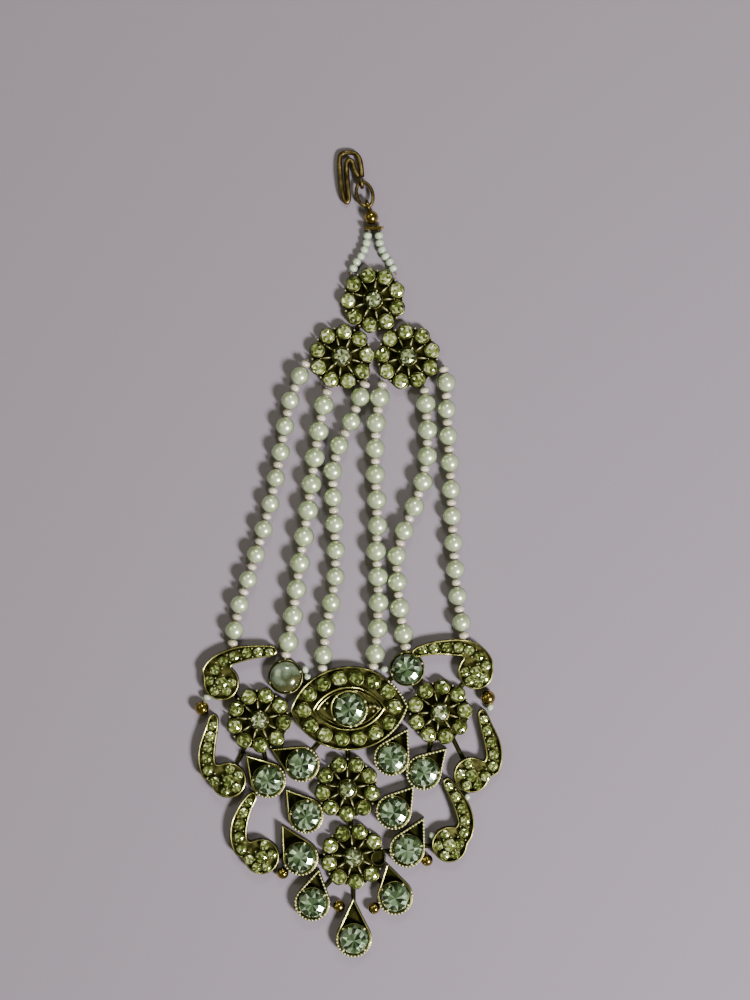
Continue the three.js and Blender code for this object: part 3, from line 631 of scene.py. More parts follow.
class Shape:
    """Points and faces gathered for one mesh, in metres, with a tone on each face."""

    def __init__(self):
        self.points = []
        self.faces = []
        self.tones = []

    def add(self, points, faces, tones=None):
        start = len(self.points)
        self.points += [tuple(p) for p in points]
        self.faces += [tuple(start + i for i in face) for face in faces]
        self.tones += tones or [0.5] * len(faces)

    def rings(self, rings, closed=False, tones=None):
        """Quads between rings of points, each band in its tone, with flat ends unless it closes."""
        size = len(rings[0])
        count = len(rings)
        faces = []
        for j in range(count if closed else count - 1):
            a, b = j * size, ((j + 1) % count) * size
            faces += [(a + i, a + (i + 1) % size, b + (i + 1) % size, b + i) for i in range(size)]
        shades = [tone for tone in tones or [0.5] * count for _ in range(size)][:len(faces)]
        if not closed:
            faces.append(tuple(reversed(range(size))))
            faces.append(tuple(range((count - 1) * size, count * size)))
            shades += [shades[0], shades[-1]]
        self.add([p for ring in rings for p in ring], faces, shades)

    def plate(self, outline, bottom, top, edge=0.12 * MM, tone=0):
        """A plate with softened edges, tarnished on top unless given a lighter tone; some settings use that
        dark top as painted shade.
        """
        inner = offset(outline, -edge)
        self.rings([
            [(x, y, bottom) for x, y in inner],
            [(x, y, bottom + edge) for x, y in outline],
            [(x, y, top - edge) for x, y in outline],
            [(x, y, top) for x, y in inner],
        ], tones=[0.2, 0.25, tone, tone])

    def rim(self, outline, wall, bottom, top, rubbed=0.85):
        """An upstanding wall along an outline, round on top and rubbed bright there."""
        half = wall / 2
        section = [(-half, bottom), (half, bottom), (half, top - half), (half * 0.7, top - half * 0.3),
                   (0, top), (-half * 0.7, top - half * 0.3), (-half, top - half)]
        normals = normals_of(outline)
        rings = [[(p[0] + n.x * out, p[1] + n.y * out, z) for p, n in zip(outline, normals)]
                 for out, z in section]
        self.rings(rings, closed=True,
                   tones=[0.1, 0.3 * rubbed, 0.8 * rubbed, rubbed, rubbed, 0.8 * rubbed, 0.15 * rubbed])

    def bar(self, start, end, width, bottom, top, tone=0.95):
        """A straight bar in plan with sloped shoulders."""
        a, b = Vector(start), Vector(end)
        along, middle = (b - a).normalized(), (a + b) / 2
        across = Vector((-along.y, along.x)) * width / 2
        corners = [a - across, b - across, b + across, a + across]
        crest = [((p + q) / 2).lerp(middle, 0.04) for p, q in zip(corners, (a, b, b, a))]
        levels = ((corners, bottom), (corners, top - width * 0.3), (crest, top))
        self.rings([[(p.x, p.y, z) for p in places] for places, z in levels], tones=[0.3 * tone, tone, tone])

    def tube(self, places, width, sides=8):
        """A round wire through places, with flat ends."""
        rings = []
        up = Vector((0, 0, 1))
        for i, place in enumerate(places):
            before = Vector(places[max(i - 1, 0)])
            after = Vector(places[min(i + 1, len(places) - 1)])
            along = (after - before).normalized()
            side = along.cross(up).normalized()
            over = side.cross(along)
            rings.append([
                tuple(Vector(place) + (side * math.cos(t) + over * math.sin(t)) * width / 2)
                for t in (-2 * math.pi * k / sides for k in range(sides))
            ])
        self.rings(rings)

    def loop(self, middle, radius_x, radius_y, width, frame_axes, steps=32, sides=10):
        """A closed oval of round wire in the plane of two axes."""
        first, second = frame_axes
        normal = first.cross(second)
        rings = []
        for k in range(sides):
            t = 2 * math.pi * k / sides
            ring = []
            for i in range(steps):
                a = 2 * math.pi * i / steps
                out = first * math.cos(a) + second * math.sin(a)
                centre = middle + first * math.cos(a) * radius_x + second * math.sin(a) * radius_y
                ring.append(tuple(centre + (out * math.cos(t) + normal * math.sin(t)) * width / 2))
            rings.append(ring)
        self.rings(rings, closed=True)

    def ball(self, middle, radius, segments=24, levels=14):
        """A polished ball, with small flats at its poles."""
        heights = [-math.pi / 2 + math.pi * j / levels for j in range(1, levels)]
        self.rings([[(*ahead(middle, 360 * i / segments, math.cos(a) * radius),
                      middle[2] + math.sin(a) * radius) for i in range(segments)] for a in heights],
                   tones=[0.9] * levels)

    def cut_stone(self, at, radius, seat, girdle, top, turn=0, spokes=16, contrast=1.0, seed=1):
        """A foiled brilliant: a starred table, two belts of triangles and a low girdle."""
        chance = random.Random(seed)
        crown = top - girdle
        # Rims of the table, belt and girdle: share of the radius, level, dip of every other corner
        levels = [(0.48, top, 0.03), (0.8, top - 0.13 * radius, 0), (1, girdle, 0)]
        points = [(*at, top - 0.03 * crown)]
        for number, (share, level, dip) in enumerate(levels):
            for i in range(spokes):
                angle = turn + 360 * (i + 0.5 * (number % 2)) / spokes
                points.append((*ahead(at, angle, radius * share), level - dip * crown * (i % 2)))
        for share, level in ((1, girdle - crown * 0.15), (0.9, seat)):
            points += [(*ahead(at, turn + 360 * i / spokes, radius * share), level) for i in range(spokes)]
        faces, tones = [], []

        # Tones come from a few levels far apart, so that neighbouring facets differ
        def facet(corners, tone):
            faces.append(corners)
            tones.append(min(1, max(0, 0.45 + (tone - 0.45) * contrast)))

        # Facet tones paint reflections: the whitest are glints, the girdle and foot are painted shade
        table, belt, edge, foot = 1, 1 + spokes, 1 + 2 * spokes, 1 + 3 * spokes
        for i in range(spokes):
            j = (i + 1) % spokes
            facet((0, table + i, table + j), chance.choice((0.15, 0.35, 0.45, 0.6, 0.75)))
            facet((table + i, belt + i, table + j), chance.choice((0.65, 0.85, 1)) if i % 2 else 0.25)
            facet((belt + i, belt + j, table + j), chance.choice((0.05, 0.2, 0.4, 0.75)))
            facet((belt + i, edge + i, edge + j), chance.uniform(0.2, 0.6))
            facet((belt + i, edge + j, belt + j), chance.choice((0.2, 0.45, 0.8)))
            facet((edge + i, foot + i, foot + j, edge + j), 0.2)
            facet((foot + i, foot + spokes + i, foot + spokes + j, foot + j), 0.1)
        facet(tuple(foot + spokes + i for i in reversed(range(spokes))), 0.05)
        self.add(points, faces, tones)

    def dome(self, at, radius, seat, girdle, top):
        """A smooth domed stone."""
        heights = [(0.9, seat), (1, girdle - 0.1 * MM), (1, girdle)]
        heights += [(math.cos(a), girdle + math.sin(a) * (top - girdle))
                    for a in (math.pi / 2 * k / 9 for k in range(1, 9))]
        self.rings([[(*ahead(at, 360 * i / 40, radius * share), level) for i in range(40)]
                    for share, level in heights])

    def made(self, name, finish, sharp=30, flat=False):
        """The gathered shape as an object with one material."""
        mesh = bpy.data.meshes.new(name)
        mesh.from_pydata(self.points, [], self.faces)
        tone = mesh.attributes.new("tone", "FLOAT", "FACE")
        tone.data.foreach_set("value", self.tones)
        mesh.materials.append(finish)
        if flat:
            mesh.shade_flat()
        else:
            mesh.shade_smooth()
            mesh.set_sharp_from_angle(angle=math.radians(sharp))
        mesh.validate()
        piece = bpy.data.objects.new(name, mesh)
        bpy.context.scene.collection.objects.link(piece)
        return piece


# Geometry Nodes: one small shape repeated on places


def places_object(name, rows):
    """A mesh of loose points, each with a turn in radians and a size."""
    mesh = bpy.data.meshes.new(name)
    mesh.from_pydata([item[0] for item in rows], [], [])
    for index, name_of in enumerate(("turn", "size"), 1):
        attribute = mesh.attributes.new(name_of, "FLOAT_VECTOR", "POINT")
        attribute.data.foreach_set("vector", [v for item in rows for v in item[index]])
    piece = bpy.data.objects.new(name, mesh)
    bpy.context.scene.collection.objects.link(piece)
    return piece


def repeat_tree(name, inputs, instance):
    """A node group that repeats an instance on places, turned and sized at each, and gives each a shade.

    The inputs are (name, kind, default) rows, and the instance function draws what is repeated.
    """
    tree = bpy.data.node_groups.get(name)
    if tree:
        return tree
    tree = bpy.data.node_groups.new(name, "GeometryNodeTree")
    tree.is_modifier = True
    always = [("Places", "Geometry", None), ("Seed", "Int", 1), ("Material", "Material", None),
              ("Smooth", "Bool", True)]
    for label, kind, default in always + inputs:
        socket = tree.interface.new_socket(name=label, in_out="INPUT", socket_type="NodeSocket" + kind)
        if default is not None:
            socket.default_value = default
    tree.interface.new_socket(name="Geometry", in_out="OUTPUT", socket_type="NodeSocketGeometry")
    source = add(tree, "NodeGroupInput")
    turn, size = (add(tree, "GeometryNodeInputNamedAttribute", {"Name": label}, data_type="FLOAT_VECTOR")
                  for label in ("turn", "size"))
    points = add(tree, "GeometryNodeMeshToPoints", {"Mesh": source.outputs["Places"]})
    rotation = add(tree, "FunctionNodeEulerToRotation", {0: turn.outputs[0]})
    placed = add(tree, "GeometryNodeInstanceOnPoints",
                 {"Points": points.outputs[0], "Instance": instance(tree, source),
                  "Rotation": rotation.outputs[0], "Scale": size.outputs[0]})
    chance = add(tree, "FunctionNodeRandomValue", {"Seed": source.outputs["Seed"]}, data_type="FLOAT")
    shaded = add(tree, "GeometryNodeStoreNamedAttribute",
                 {"Geometry": placed.outputs[0], "Name": "shade", "Value": chance.outputs[1]},
                 data_type="FLOAT", domain="INSTANCE")
    real = add(tree, "GeometryNodeRealizeInstances", {"Geometry": shaded.outputs[0]})
    smooth = add(tree, "GeometryNodeSetShadeSmooth",
                 {"Geometry": real.outputs[0], "Shade Smooth": source.outputs["Smooth"]})
    finished = add(tree, "GeometryNodeSetMaterial",
                   {"Geometry": smooth.outputs[0], "Material": source.outputs["Material"]})
    add(tree, "NodeGroupOutput", {0: finished.outputs[0]})
    return tree


def ball_tree():
    """Round beads or grains on places: a ball of a width, with so many segments and rings."""

    def ball(tree, source):
        unit = add(tree, "GeometryNodeMeshUVSphere", {
            "Segments": source.outputs["Segments"], "Rings": source.outputs["Rings"], "Radius": 0.5})
        return add(tree, "GeometryNodeTransform",
                   {"Geometry": unit.outputs[0], "Scale": source.outputs["Width"]}).outputs[0]

    return repeat_tree(
        "balls on places", [("Width", "Float", 1.0), ("Segments", "Int", 24), ("Rings", "Int", 16)], ball)


def form_tree():
    """A given form on places: a stone or bead of unit width."""

    def form(tree, source):
        return add(tree, "GeometryNodeObjectInfo", {"Object": source.outputs["Form"]}).outputs["Geometry"]

    return repeat_tree("forms on places", [("Form", "Object", None)], form)


def repeated(name, rows, tree, finish, **inputs):
    """The tree run on places, as a plain mesh of its own."""
    piece = places_object(name, rows)
    modifier = piece.modifiers.new("repeat", "NODES")
    modifier.node_group = tree
    values = {"Material": finish, **inputs}
    for item in tree.interface.items_tree:
        if item.in_out == "INPUT" and item.name in values:
            modifier[item.identifier] = values[item.name]
    bpy.context.view_layer.update()
    graph = bpy.context.evaluated_depsgraph_get()
    mesh = bpy.data.meshes.new_from_object(piece.evaluated_get(graph))
    piece.modifiers.clear()
    piece.data = mesh
    mesh.name = name
    if not mesh.polygons:
        raise RuntimeError(name + " came out empty")
    return piece


def unit_form(name, draw, finish, flat):
    """A form one unit wide to be repeated, kept out of the scene."""
    kept = bpy.data.objects.get(name)
    if kept:
        return kept
    shape = Shape()
    draw(shape)
    piece = shape.made(name, finish, sharp=180, flat=flat)
    bpy.context.scene.collection.objects.unlink(piece)
    return piece


def unit_stone():
    def draw(shape):
        shape.cut_stone((0, 0), 0.5, 0, 0.27, 0.44, spokes=8, contrast=0.95, seed=5)

    return unit_form("unit_cut_stone", draw, olive_glass(), True)


def unit_bead():
    """A short barrel with rounded ends, dimpled at its hole."""
    half = [(0.13, 0.44), (0.2, 0.49), (0.3, 0.44), (0.4, 0.35), (0.46, 0.245), (0.49, 0.14)]
    profile = [(r, -z) for r, z in half] + [(0.5, 0)] + [(r, z) for r, z in reversed(half)]

    def draw(shape):
        shape.rings([[(*ahead((0, 0), 22.5 * i, r), z) for i in range(16)] for r, z in profile])

    return unit_form("unit_barrel_bead", draw, seed_glass(), False)


def dressed(piece, slot, *nodes):
    """Rides the piece on the one body and hides the solids that it stands for; its slot is not used."""
    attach(piece, "root")
    if nodes:
        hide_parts(*nodes)
    return piece


def row(at, level, turn=(0, 0, 0), size=(1, 1, 1)):
    """A place for one of many: its middle, its turn and its size."""
    return ((at[0], at[1], level), turn, size)


# Settings


class Work:
    """What one soldered body is made of: metal, grains of gold and small stones."""

    def __init__(self):
        self.sizes = bpy.context.scene.tikka_metal
        self.stone_sizes = bpy.context.scene.tikka_stones
        self.low = self.sizes.back - SUNK
        self.metal = Shape()
        self.grains = []
        self.stones = []

    def wall(self, outline, width, top, rubbed=0.85):
        """A rim that stands in its back plate."""
        self.metal.rim(outline, width, self.low, top, rubbed)

    def edge(self, outline, width, rubbed=0.85):
        """The rim of a setting, just inside its outline."""
        self.wall(offset(outline, -width / 2), width, self.sizes.rim_top, rubbed)

    def grain(self, at, level, scale=1.0):
        self.grains.append(row(at, level, size=(scale, scale, scale * 0.8)))

    def prong(self, at, bottom, top, scale):
        """A standing grain that reaches down to its plate."""
        tall = (top - bottom) / self.sizes.grain
        self.grains.append(row(at, (bottom + top) / 2, size=(scale, scale, tall)))

    def spoke(self, at, turn, length, top):
        """A round-backed wire spoke that stands on its plate."""
        size = (length / self.sizes.grain, 0.7, (top - self.low) / self.sizes.grain)
        self.grains.append(row(at, (self.low + top) / 2, (0, 0, math.radians(turn)), size))

    def beading(self, outline, scale, wanted):
        """Beads along the rim of a setting, where the wanted function says yes."""
        for place in softened(offset(outline, -self.sizes.rim_wall / 2), BEADING, 0):
            if wanted(place):
                self.grain(place, self.sizes.rim_top, scale)

    def stone(self, at, level, width, turn):
        self.stones.append(row(at, level, (0, 0, math.radians(turn)), (width, width, width)))

    def set_stone(self, at, turn):
        """A small stone in a thin blackened cup."""
        wall, width = self.sizes.cup_wall, self.stone_sizes.small
        self.wall(circle(at, width / 2 + wall * 0.4, 20), wall, SMALL_SEAT + width * 0.22, 0.5)
        self.stone(at, SMALL_SEAT, width, turn)

    def finish(self, prefix, glass, *nodes):
        """The three pieces of the body: its metalwork, its grains and its small stones."""
        dressed(self.metal.made(prefix + "_metalwork", antique_gold()), "antique_gold", *nodes)
        grains = repeated(prefix + "_grains", self.grains, ball_tree(), rubbed_gold(), Seed=3,
                          Width=self.sizes.grain, Segments=10, Rings=6)
        dressed(grains, "antique_gold")
        stones = repeated(prefix + "_small_stones", self.stones, form_tree(), glass, Seed=7,
                          Form=unit_stone(), Smooth=False)
        dressed(stones, "antique_gold")


def flower(work, at, turn, missing):
    """Nine stones round a raised cup, with short spokes and prongs between, on a lobed back plate painted
    near black as the shade in its openings.
    """
    sizes, stones = work.sizes, work.stone_sizes
    cup, cup_floor, cup_top = 2.05 * MM, 1.6 * MM, 3 * MM
    spoke_middle, spoke_length, spoke_top = 3.2 * MM, 2.3 * MM, 2.6 * MM
    outer_prong, inner_prong, prong_top = 6.45 * MM, 4.6 * MM, 2.4 * MM
    outline = []
    count = stones.petals * 8
    for i in range(count):
        lobe = math.cos(2 * math.pi * i / 8)
        outline.append(ahead(at, turn + 360 * i / count, stones.ring + stones.small * (0.35 + 0.1 * lobe)))
    # Painted shade: the back plate's near-black top stands for the shadowed openings between the spokes
    work.metal.plate(outline, 0, sizes.back, tone=0.06)
    for i in range(stones.petals):
        angle = turn + i * 360 / stones.petals
        place = ahead(at, angle, stones.ring)
        if i == missing:
            work.metal.rim(circle(place, stones.small / 2, 20), sizes.cup_wall, 0.6 * MM, 1.9 * MM, 0.3)
        else:
            work.set_stone(place, angle * 3.7)
        between = angle + 180 / stones.petals
        work.spoke(ahead(at, between, spoke_middle), between, spoke_length, spoke_top)
        work.prong(ahead(at, between, outer_prong), work.low, prong_top, 0.9)
        work.prong(ahead(at, between, inner_prong), work.low, prong_top, 0.55)
    work.wall(circle(at, cup, 36), 0.2 * MM, cup_top, 0.4)
    work.metal.plate(circle(at, cup, 24), work.low, cup_floor)
    for i in range(4):
        work.grain(ahead(at, turn + 45 + 90 * i, cup), cup_top, 0.7)


def drop_setting(work, node, turn, reach):
    """A thin teardrop wall round a big round stone, on a back plate painted black as the shade of an opening
    towards its tip, beaded behind.
    """
    at, radius = middle_of(node), half_width(node)
    seat_top, claw_level = 2.8 * MM, 2.85 * MM
    outer = teardrop(at, radius + 0.5 * MM, radius * reach, turn)
    # Painted shade: the plate's black top stands for the shadowed opening towards the tip
    work.metal.plate(outer, 0, work.sizes.back)
    work.edge(outer, work.sizes.rim_wall)
    work.wall(circle(at, radius + 0.06 * MM, 48), 0.2 * MM, seat_top, 0.5)
    for i in range(4):
        work.grain(ahead(at, turn - 45 + 90 * i, radius * 0.97), claw_level, 0.95)
    # Drops whose tips point right are beaded all round, the others only round their bellies
    to_tip = Vector(ahead((0, 0), turn, 1))
    work.beading(outer, 0.82,
                 lambda place: turn < 90 or (Vector(place) - Vector(at)).dot(to_tip) < 0.1 * radius)


def round_setting(work, node):
    """A plain wall round a big round stone, with four claws."""
    at, radius = middle_of(node), half_width(node)
    top = work.sizes.rim_top - 0.4 * MM
    outline = circle(at, radius + 0.3 * MM, 56)
    work.metal.plate(offset(outline, 0.15 * MM), 0, work.sizes.back)
    work.wall(outline, 0.3 * MM, top, 0.55)
    for i in range(4):
        work.grain(ahead(at, 20 + 90 * i, radius + 0.12 * MM), top, 0.8)


def marquise_ring(half_length, half_height, count):
    """Places spaced evenly along an oval."""
    route = [Vector((math.cos(a) * half_length, math.sin(a) * half_height))
             for a in (math.radians(i / 2) for i in range(721))]
    total = length_of(route)
    places, gone = [], 0
    for p, q in zip(route, route[1:]):
        if len(places) < count and gone >= total * len(places) / count:
            places.append(p)
        gone += (q - p).length
    return places


def marquise_setting(work):
    """The eye-shaped middle: two rims, a ring of small stones between them and a raised bezel."""
    at, radius = middle_of("stone_marquise"), half_width("stone_marquise")
    turn = 2
    inner_rim_top, inner_step_top, prong_top = 3 * MM, 2.3 * MM, 2.3 * MM
    bezel, bezel_top, bezel_floor = radius + 0.22 * MM, 3.4 * MM, 1.25 * MM
    outer = eye_outline(at, 12.9 * MM, 9.2 * MM, turn)
    inner = eye_outline(at, 8 * MM, 4.8 * MM, turn)
    work.metal.plate(outer, 0, work.sizes.back, tone=0.4)
    work.edge(outer, work.sizes.rim_wall, 0.55)
    work.wall(offset(inner, -0.18 * MM), 0.36 * MM, inner_rim_top)
    work.wall(offset(inner, -0.9 * MM), 0.3 * MM, inner_step_top)
    slant = Euler((0, 0, math.radians(turn))).to_matrix().to_2x2()
    for i, place in enumerate(marquise_ring(10 * MM, 6.7 * MM, work.stone_sizes.ring_count)):
        work.set_stone(Vector(at) + slant @ place, 47 * i)
        for share in (0.84, 1.17):
            work.prong(Vector(at) + slant @ (place * share), work.low, prong_top, 0.7)
    work.wall(circle(at, bezel, 56), 0.4 * MM, bezel_top)
    work.metal.plate(circle(at, radius, 32), work.low, bezel_floor)
    for angle in (135, 215, 25, 5, -15, -33, -50, -67, -85):
        work.grain(ahead(at, angle, bezel), bezel_top, 1.15)
    for x, y in MARQUISE_GRAINS:
        work.prong((at[0] + x * MM, at[1] + y * MM), work.low, 2.4 * MM, 1.3)
    # Only its right-hand end is beaded
    work.beading(outer, 0.9, lambda place: place[0] > at[0] + 8.5 * MM)


def scroll_setting(work, scroll):
    """A comma of metal: a rim all round, a paved arm and a paved disc with a larger middle stone."""
    outline = comma_outline(scroll)
    pave, seat = work.stone_sizes.pave, 1.72 * MM
    prong_foot, prong_top = 1.4 * MM, 2.55 * MM
    work.metal.plate(outline, 0, 1.5 * MM, tone=0.4)
    work.edge(outline, 0.34 * MM, 0.7)
    disc = Vector(panel_place(*scroll["disc"]))
    arm = [Vector(panel_place(*place)) for place in scroll["arm_stones"]]
    arm[-1] = arm[-1].lerp(disc, 0.09)
    for i, place in enumerate(arm):
        work.stone(place, seat, pave * (0.9 if i == 0 else 1), 33 * i)
    for p, q in zip(arm, arm[1:]):
        across = Vector((q.y - p.y, p.x - q.x)).normalized() * pave * 0.4
        for side in (-1, 1):
            work.prong((p + q) / 2 + across * side, prong_foot, prong_top, 0.75)
    work.stone(disc, seat + 0.1 * MM, pave * 1.28, 15)
    for place in scroll["disc_stones"]:
        at = Vector(panel_place(*place))
        work.stone(at, seat, pave * 0.95, 1000 * place[0])
        work.prong(disc.lerp(at, 1.38), prong_foot, prong_top, 0.75)
    for i in range(6):
        work.prong(ahead(disc, 60 * i + 20, 1.66 * MM), prong_foot, 2.6 * MM, 0.75)


def strip_between(work, a, b):
    """A flat strip, 0.9 mm wide and 0.4 mm thick, let into the back between two settings."""
    # Painted shade: the strip is kept nearly black, as the shade that lies in the gaps between settings
    work.metal.bar(a, b, 0.9 * MM, 0.2 * MM, 0.6 * MM, tone=0.1)


def end_of_strip(name):
    """The middle of the setting that a strip runs to."""
    return panel_place(*SCROLLS[name]["disc"]) if name in SCROLLS else middle_of("stone_" + name)


class PanelOperator(bpy.types.Operator):
    """Make the panel's metalwork, grains and small stones"""

    bl_idname = "tikka.panel"
    bl_label = "Panel"

    def execute(self, context):
        work = Work()
        marquise_setting(work)
        for node, turn, missing in FLOWERS:
            flower(work, middle_of(node), turn, missing)
        for number, (turn, reach) in enumerate(DROPS, 1):
            drop_setting(work, "stone_drop_" + str(number), turn, reach)
        for node in ROUNDS:
            round_setting(work, node)
        for scroll in SCROLLS.values():
            scroll_setting(work, scroll)
        for a, b in STRIPS:
            strip_between(work, end_of_strip(a), end_of_strip(b))
        work.finish("panel", olive_glass(), "panel_frame")
        return {"FINISHED"}


class ClusterOperator(bpy.types.Operator):
    """Make the three soldered flowers above the strands"""

    bl_idname = "tikka.cluster"
    bl_label = "Flower cluster"

    def execute(self, context):
        work = Work()
        for node, turn, missing in CLUSTER:
            flower(work, middle_of(node), turn, missing)
        for i, part in enumerate(CLUSTER):
            strip_between(work, middle_of(part[0]), middle_of(CLUSTER[(i + 1) % 3][0]))
        work.finish("cluster", lime_glass(), "upper_cluster")
        return {"FINISHED"}


class StonesOperator(bpy.types.Operator):
    """Make the main stones, each in place of its solid"""

    bl_idname = "tikka.stones"
    bl_label = "Main stones"

    def execute(self, context):
        nodes = sorted(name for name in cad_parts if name.startswith("stone_"))
        for index, node in enumerate(nodes):
            low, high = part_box(node)
            at, radius = middle_of(node), half_width(node)
            big = radius > 3 * MM
            girdle = low[2] + (high[2] - low[2]) * 0.45
            shape = Shape()
            if node == SMOOTH_STONE:
                shape.dome(at, radius, low[2], girdle, high[2])
                stone = shape.made("smooth_" + node[6:], moonstone_glass(), sharp=50)
            else:
                shape.cut_stone(at, radius, low[2], girdle, high[2], turn=index * 17,
                                spokes=16 if big else 10, contrast=1 if big else 0.9, seed=index + 11)
                stone = shape.made("cut_" + node[6:], pale_glass() if big else spring_glass(), flat=True)
            dressed(stone, "pale_glass_stone", node)
        return {"FINISHED"}


def bead_places(node):
    """Where the beads of a string lie: the solid's lowest corners come in pairs, or singly, at each bead."""
    points = sorted({tuple(round(c, 6) for c in v.co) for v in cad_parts[node].data.vertices},
                    key=lambda p: -p[1])
    low = min(p[2] for p in points)
    return [Vector(p) for p in points if p[2] < low + 0.02 * MM]


def facing(along):
    """Euler turns that lay a bead's hole along a direction."""
    return tuple(Vector(along).to_track_quat("Z", "Y").to_euler())


def string_parts(node, pearl):
    """Pearl middles and their directions, read from a strand's solid."""
    corners = bead_places(node)
    pairs = list(zip(corners[0::2], corners[1::2]))
    middles = [(a + b) / 2 + Vector((0, 0, pearl / 2)) for a, b in pairs]
    return middles, [(b - a).normalized() for a, b in pairs]


def thread_through(threads, middles, ways, spare):
    """A thread through beads, with so much to spare at either end."""
    ends = [middles[0] - ways[0] * spare, *middles, middles[-1] + ways[-1] * spare]
    threads.tube([tuple(p) for p in ends], bpy.context.scene.tikka_beads.thread)


class StrandsOperator(bpy.types.Operator):
    """Make the pearl strands with their spacers and threads"""

    bl_idname = "tikka.strands"
    bl_label = "Pearl strands"

    def execute(self, context):
        sizes = context.scene.tikka_beads
        chance = random.Random(21)
        spacers, threads = [], Shape()
        for node in STRANDS:
            middles, ways = string_parts(node, sizes.pearl)
            pearls = []
            grade = PEARL_GRADES[node]
            for middle, way in zip(middles, ways):
                scale = grade * chance.uniform(0.985, 1.01)
                lift = Vector((0, 0, (scale - 1) * sizes.pearl / 2))
                pearls.append((tuple(middle + lift), facing(way),
                               (scale, scale, grade * chance.uniform(0.98, 1.02))))
            gap = (middles[1] - middles[0]).length / 2
            first, last = middles[0] - ways[0] * gap, middles[-1] + ways[-1] * gap
            between = [first, *[(a + b) / 2 for a, b in zip(middles, middles[1:])], last]
            for place, way in zip(between, [ways[0], *ways]):
                width = sizes.spacer * chance.uniform(0.94, 1.04)
                spacers.append((tuple(place), facing(way), (width, width, sizes.spacer_length)))
            made = repeated("pearls_" + node[-1], pearls, ball_tree(), pearl_lustre(), Seed=5,
                            Width=sizes.pearl, Segments=28, Rings=18)
            dressed(made, "pearl", node)
            thread_through(threads, [first, *middles, last], ways, 1.1 * MM)
        dressed(repeated("spacers", spacers, form_tree(), spacer_glass(), Seed=6, Form=unit_bead()),
                "seed_bead")
        dressed(threads.made("strand_threads", waxed_thread()), "antique_gold")
        return {"FINISHED"}


class SeedStringsOperator(bpy.types.Operator):
    """Make the two strings of seed beads, their threads and the loose joiner beads"""

    bl_idname = "tikka.seeds"
    bl_label = "Seed beads"

    def execute(self, context):
        sizes = context.scene.tikka_beads
        threads = Shape()
        for node in SEED_STRINGS:
            middles = [p + Vector((0, 0, sizes.seed / 2)) for p in bead_places(node)]
            ways = [(middles[min(i + 1, len(middles) - 1)] - middles[max(i - 1, 0)]).normalized()
                    for i in range(len(middles))]
            size = (sizes.seed, sizes.seed, sizes.seed_length)
            rows = [(tuple(m), facing(w), size) for m, w in zip(middles, ways)]
            made = repeated(node + "_beads", rows, form_tree(), seed_glass(), Seed=8, Form=unit_bead())
            dressed(made, "seed_bead", node)
            thread_through(threads, middles, ways, 1.6 * MM)
        dressed(threads.made("seed_threads", waxed_thread()), "antique_gold")
        rows = [row(panel_place(*place), JOINER_LEVEL, (JOINER_TILT, 0, 0.9 * index), JOINER_SIZE)
                for index, place in enumerate(JOINERS)]
        dressed(repeated("joiner_beads", rows, form_tree(), seed_glass(), Seed=9, Form=unit_bead()),
                "seed_bead")
        return {"FINISHED"}


def axes(degrees):
    """Two directions in the surface's plane, the first at a turn in degrees."""
    c, s = math.cos(math.radians(degrees)), math.sin(math.radians(degrees))
    return Vector((c, s, 0)), Vector((-s, c, 0))


def hook_and_ring(ring_turn):
    """The doubled wire hook with its eye, and the oval ring through it."""
    middle = Vector((*middle_of("jump_ring"), RING_LEVEL))
    along, across = axes(ring_turn)
    ring = Shape()
    ring.loop(middle, *RING, (along, across), steps=48)
    dressed(ring.made("wire_ring", wire_gold(), sharp=180), "dark_gold_wire", "jump_ring")
    eye = middle + along * RING[0]
    right, up = axes(10)
    places = []
    for side, way in HOOK_ROUTE:
        place = eye + right * side * HOOK_WIDTH + up * way * HOOK_LENGTH
        # The wire comes down from its eye to lie on the surface
        place.z = RING_LEVEL - (RING_LEVEL - HOOK_WIRE / 2) * min(1, abs(way - HOOK_ROUTE[0][1]))
        places.append(place)
    hook = Shape()
    hook.tube(smooth_route(places, 150), HOOK_WIRE, sides=12)
    hook.loop(eye, EYE, EYE, 0.95 * MM, (up, Vector((0, 0, 1))))
    dressed(hook.made("wire_hook", wire_gold(), sharp=60), "dark_gold_wire", "hook")


def end_ball():
    """The ball below the ring, with its wire eye."""
    low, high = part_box("end_ball")
    radius = (high[2] - low[2]) / 2
    at = Vector((high[0] - radius * 0.98, low[1] + radius * 0.98, radius))
    ring = Vector((*middle_of("jump_ring"), 0))
    level = sum(corner[2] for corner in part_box("jump_ring")) / 2
    way = Vector((ring.x - at.x, ring.y - at.y, 0)).normalized()
    shape = Shape()
    shape.ball(at, radius)
    shape.loop(Vector((at.x, at.y, level)) + way * (radius + EYE), EYE, EYE, 0.8 * MM,
               (way, Vector((0, 0, 1))))
    dressed(shape.made("gold_end_ball", bright_gold(), sharp=60), "bright_gold", "end_ball")


def crimp():
    """The flat bar that the seed strings start from, with a stub of wire at its right."""
    low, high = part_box("crimp")
    middle, level = (low[1] + high[1]) / 2, (low[2] + high[2]) / 2
    shape = Shape()
    shape.bar((low[0], middle), (high[0], middle), high[1] - low[1], low[2], high[2])
    shape.tube([(high[0] - 0.4 * MM, middle, level), (high[0] + 0.5 * MM, middle + 0.2 * MM, level)],
               0.5 * MM)
    dressed(shape.made("dark_crimp", wire_gold()), "dark_gold_wire", "crimp")


class FindingsOperator(bpy.types.Operator):
    """Make the hook, the ring, the end ball, the crimp and the gold balls"""

    bl_idname = "tikka.findings"
    bl_label = "Hook, ring and balls"

    def execute(self, context):
        hook_and_ring(context.scene.tikka_metal.ring_turn)
        for node in GOLD_BALLS:
            low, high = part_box(node)
            radius = (high[2] - low[2]) / 2
            shape = Shape()
            shape.ball((*middle_of(node), radius), radius)
            dressed(shape.made("gold_" + node, bright_gold(), sharp=180), "bright_gold", node)
        end_ball()
        crimp()
        return {"FINISHED"}


# Stage


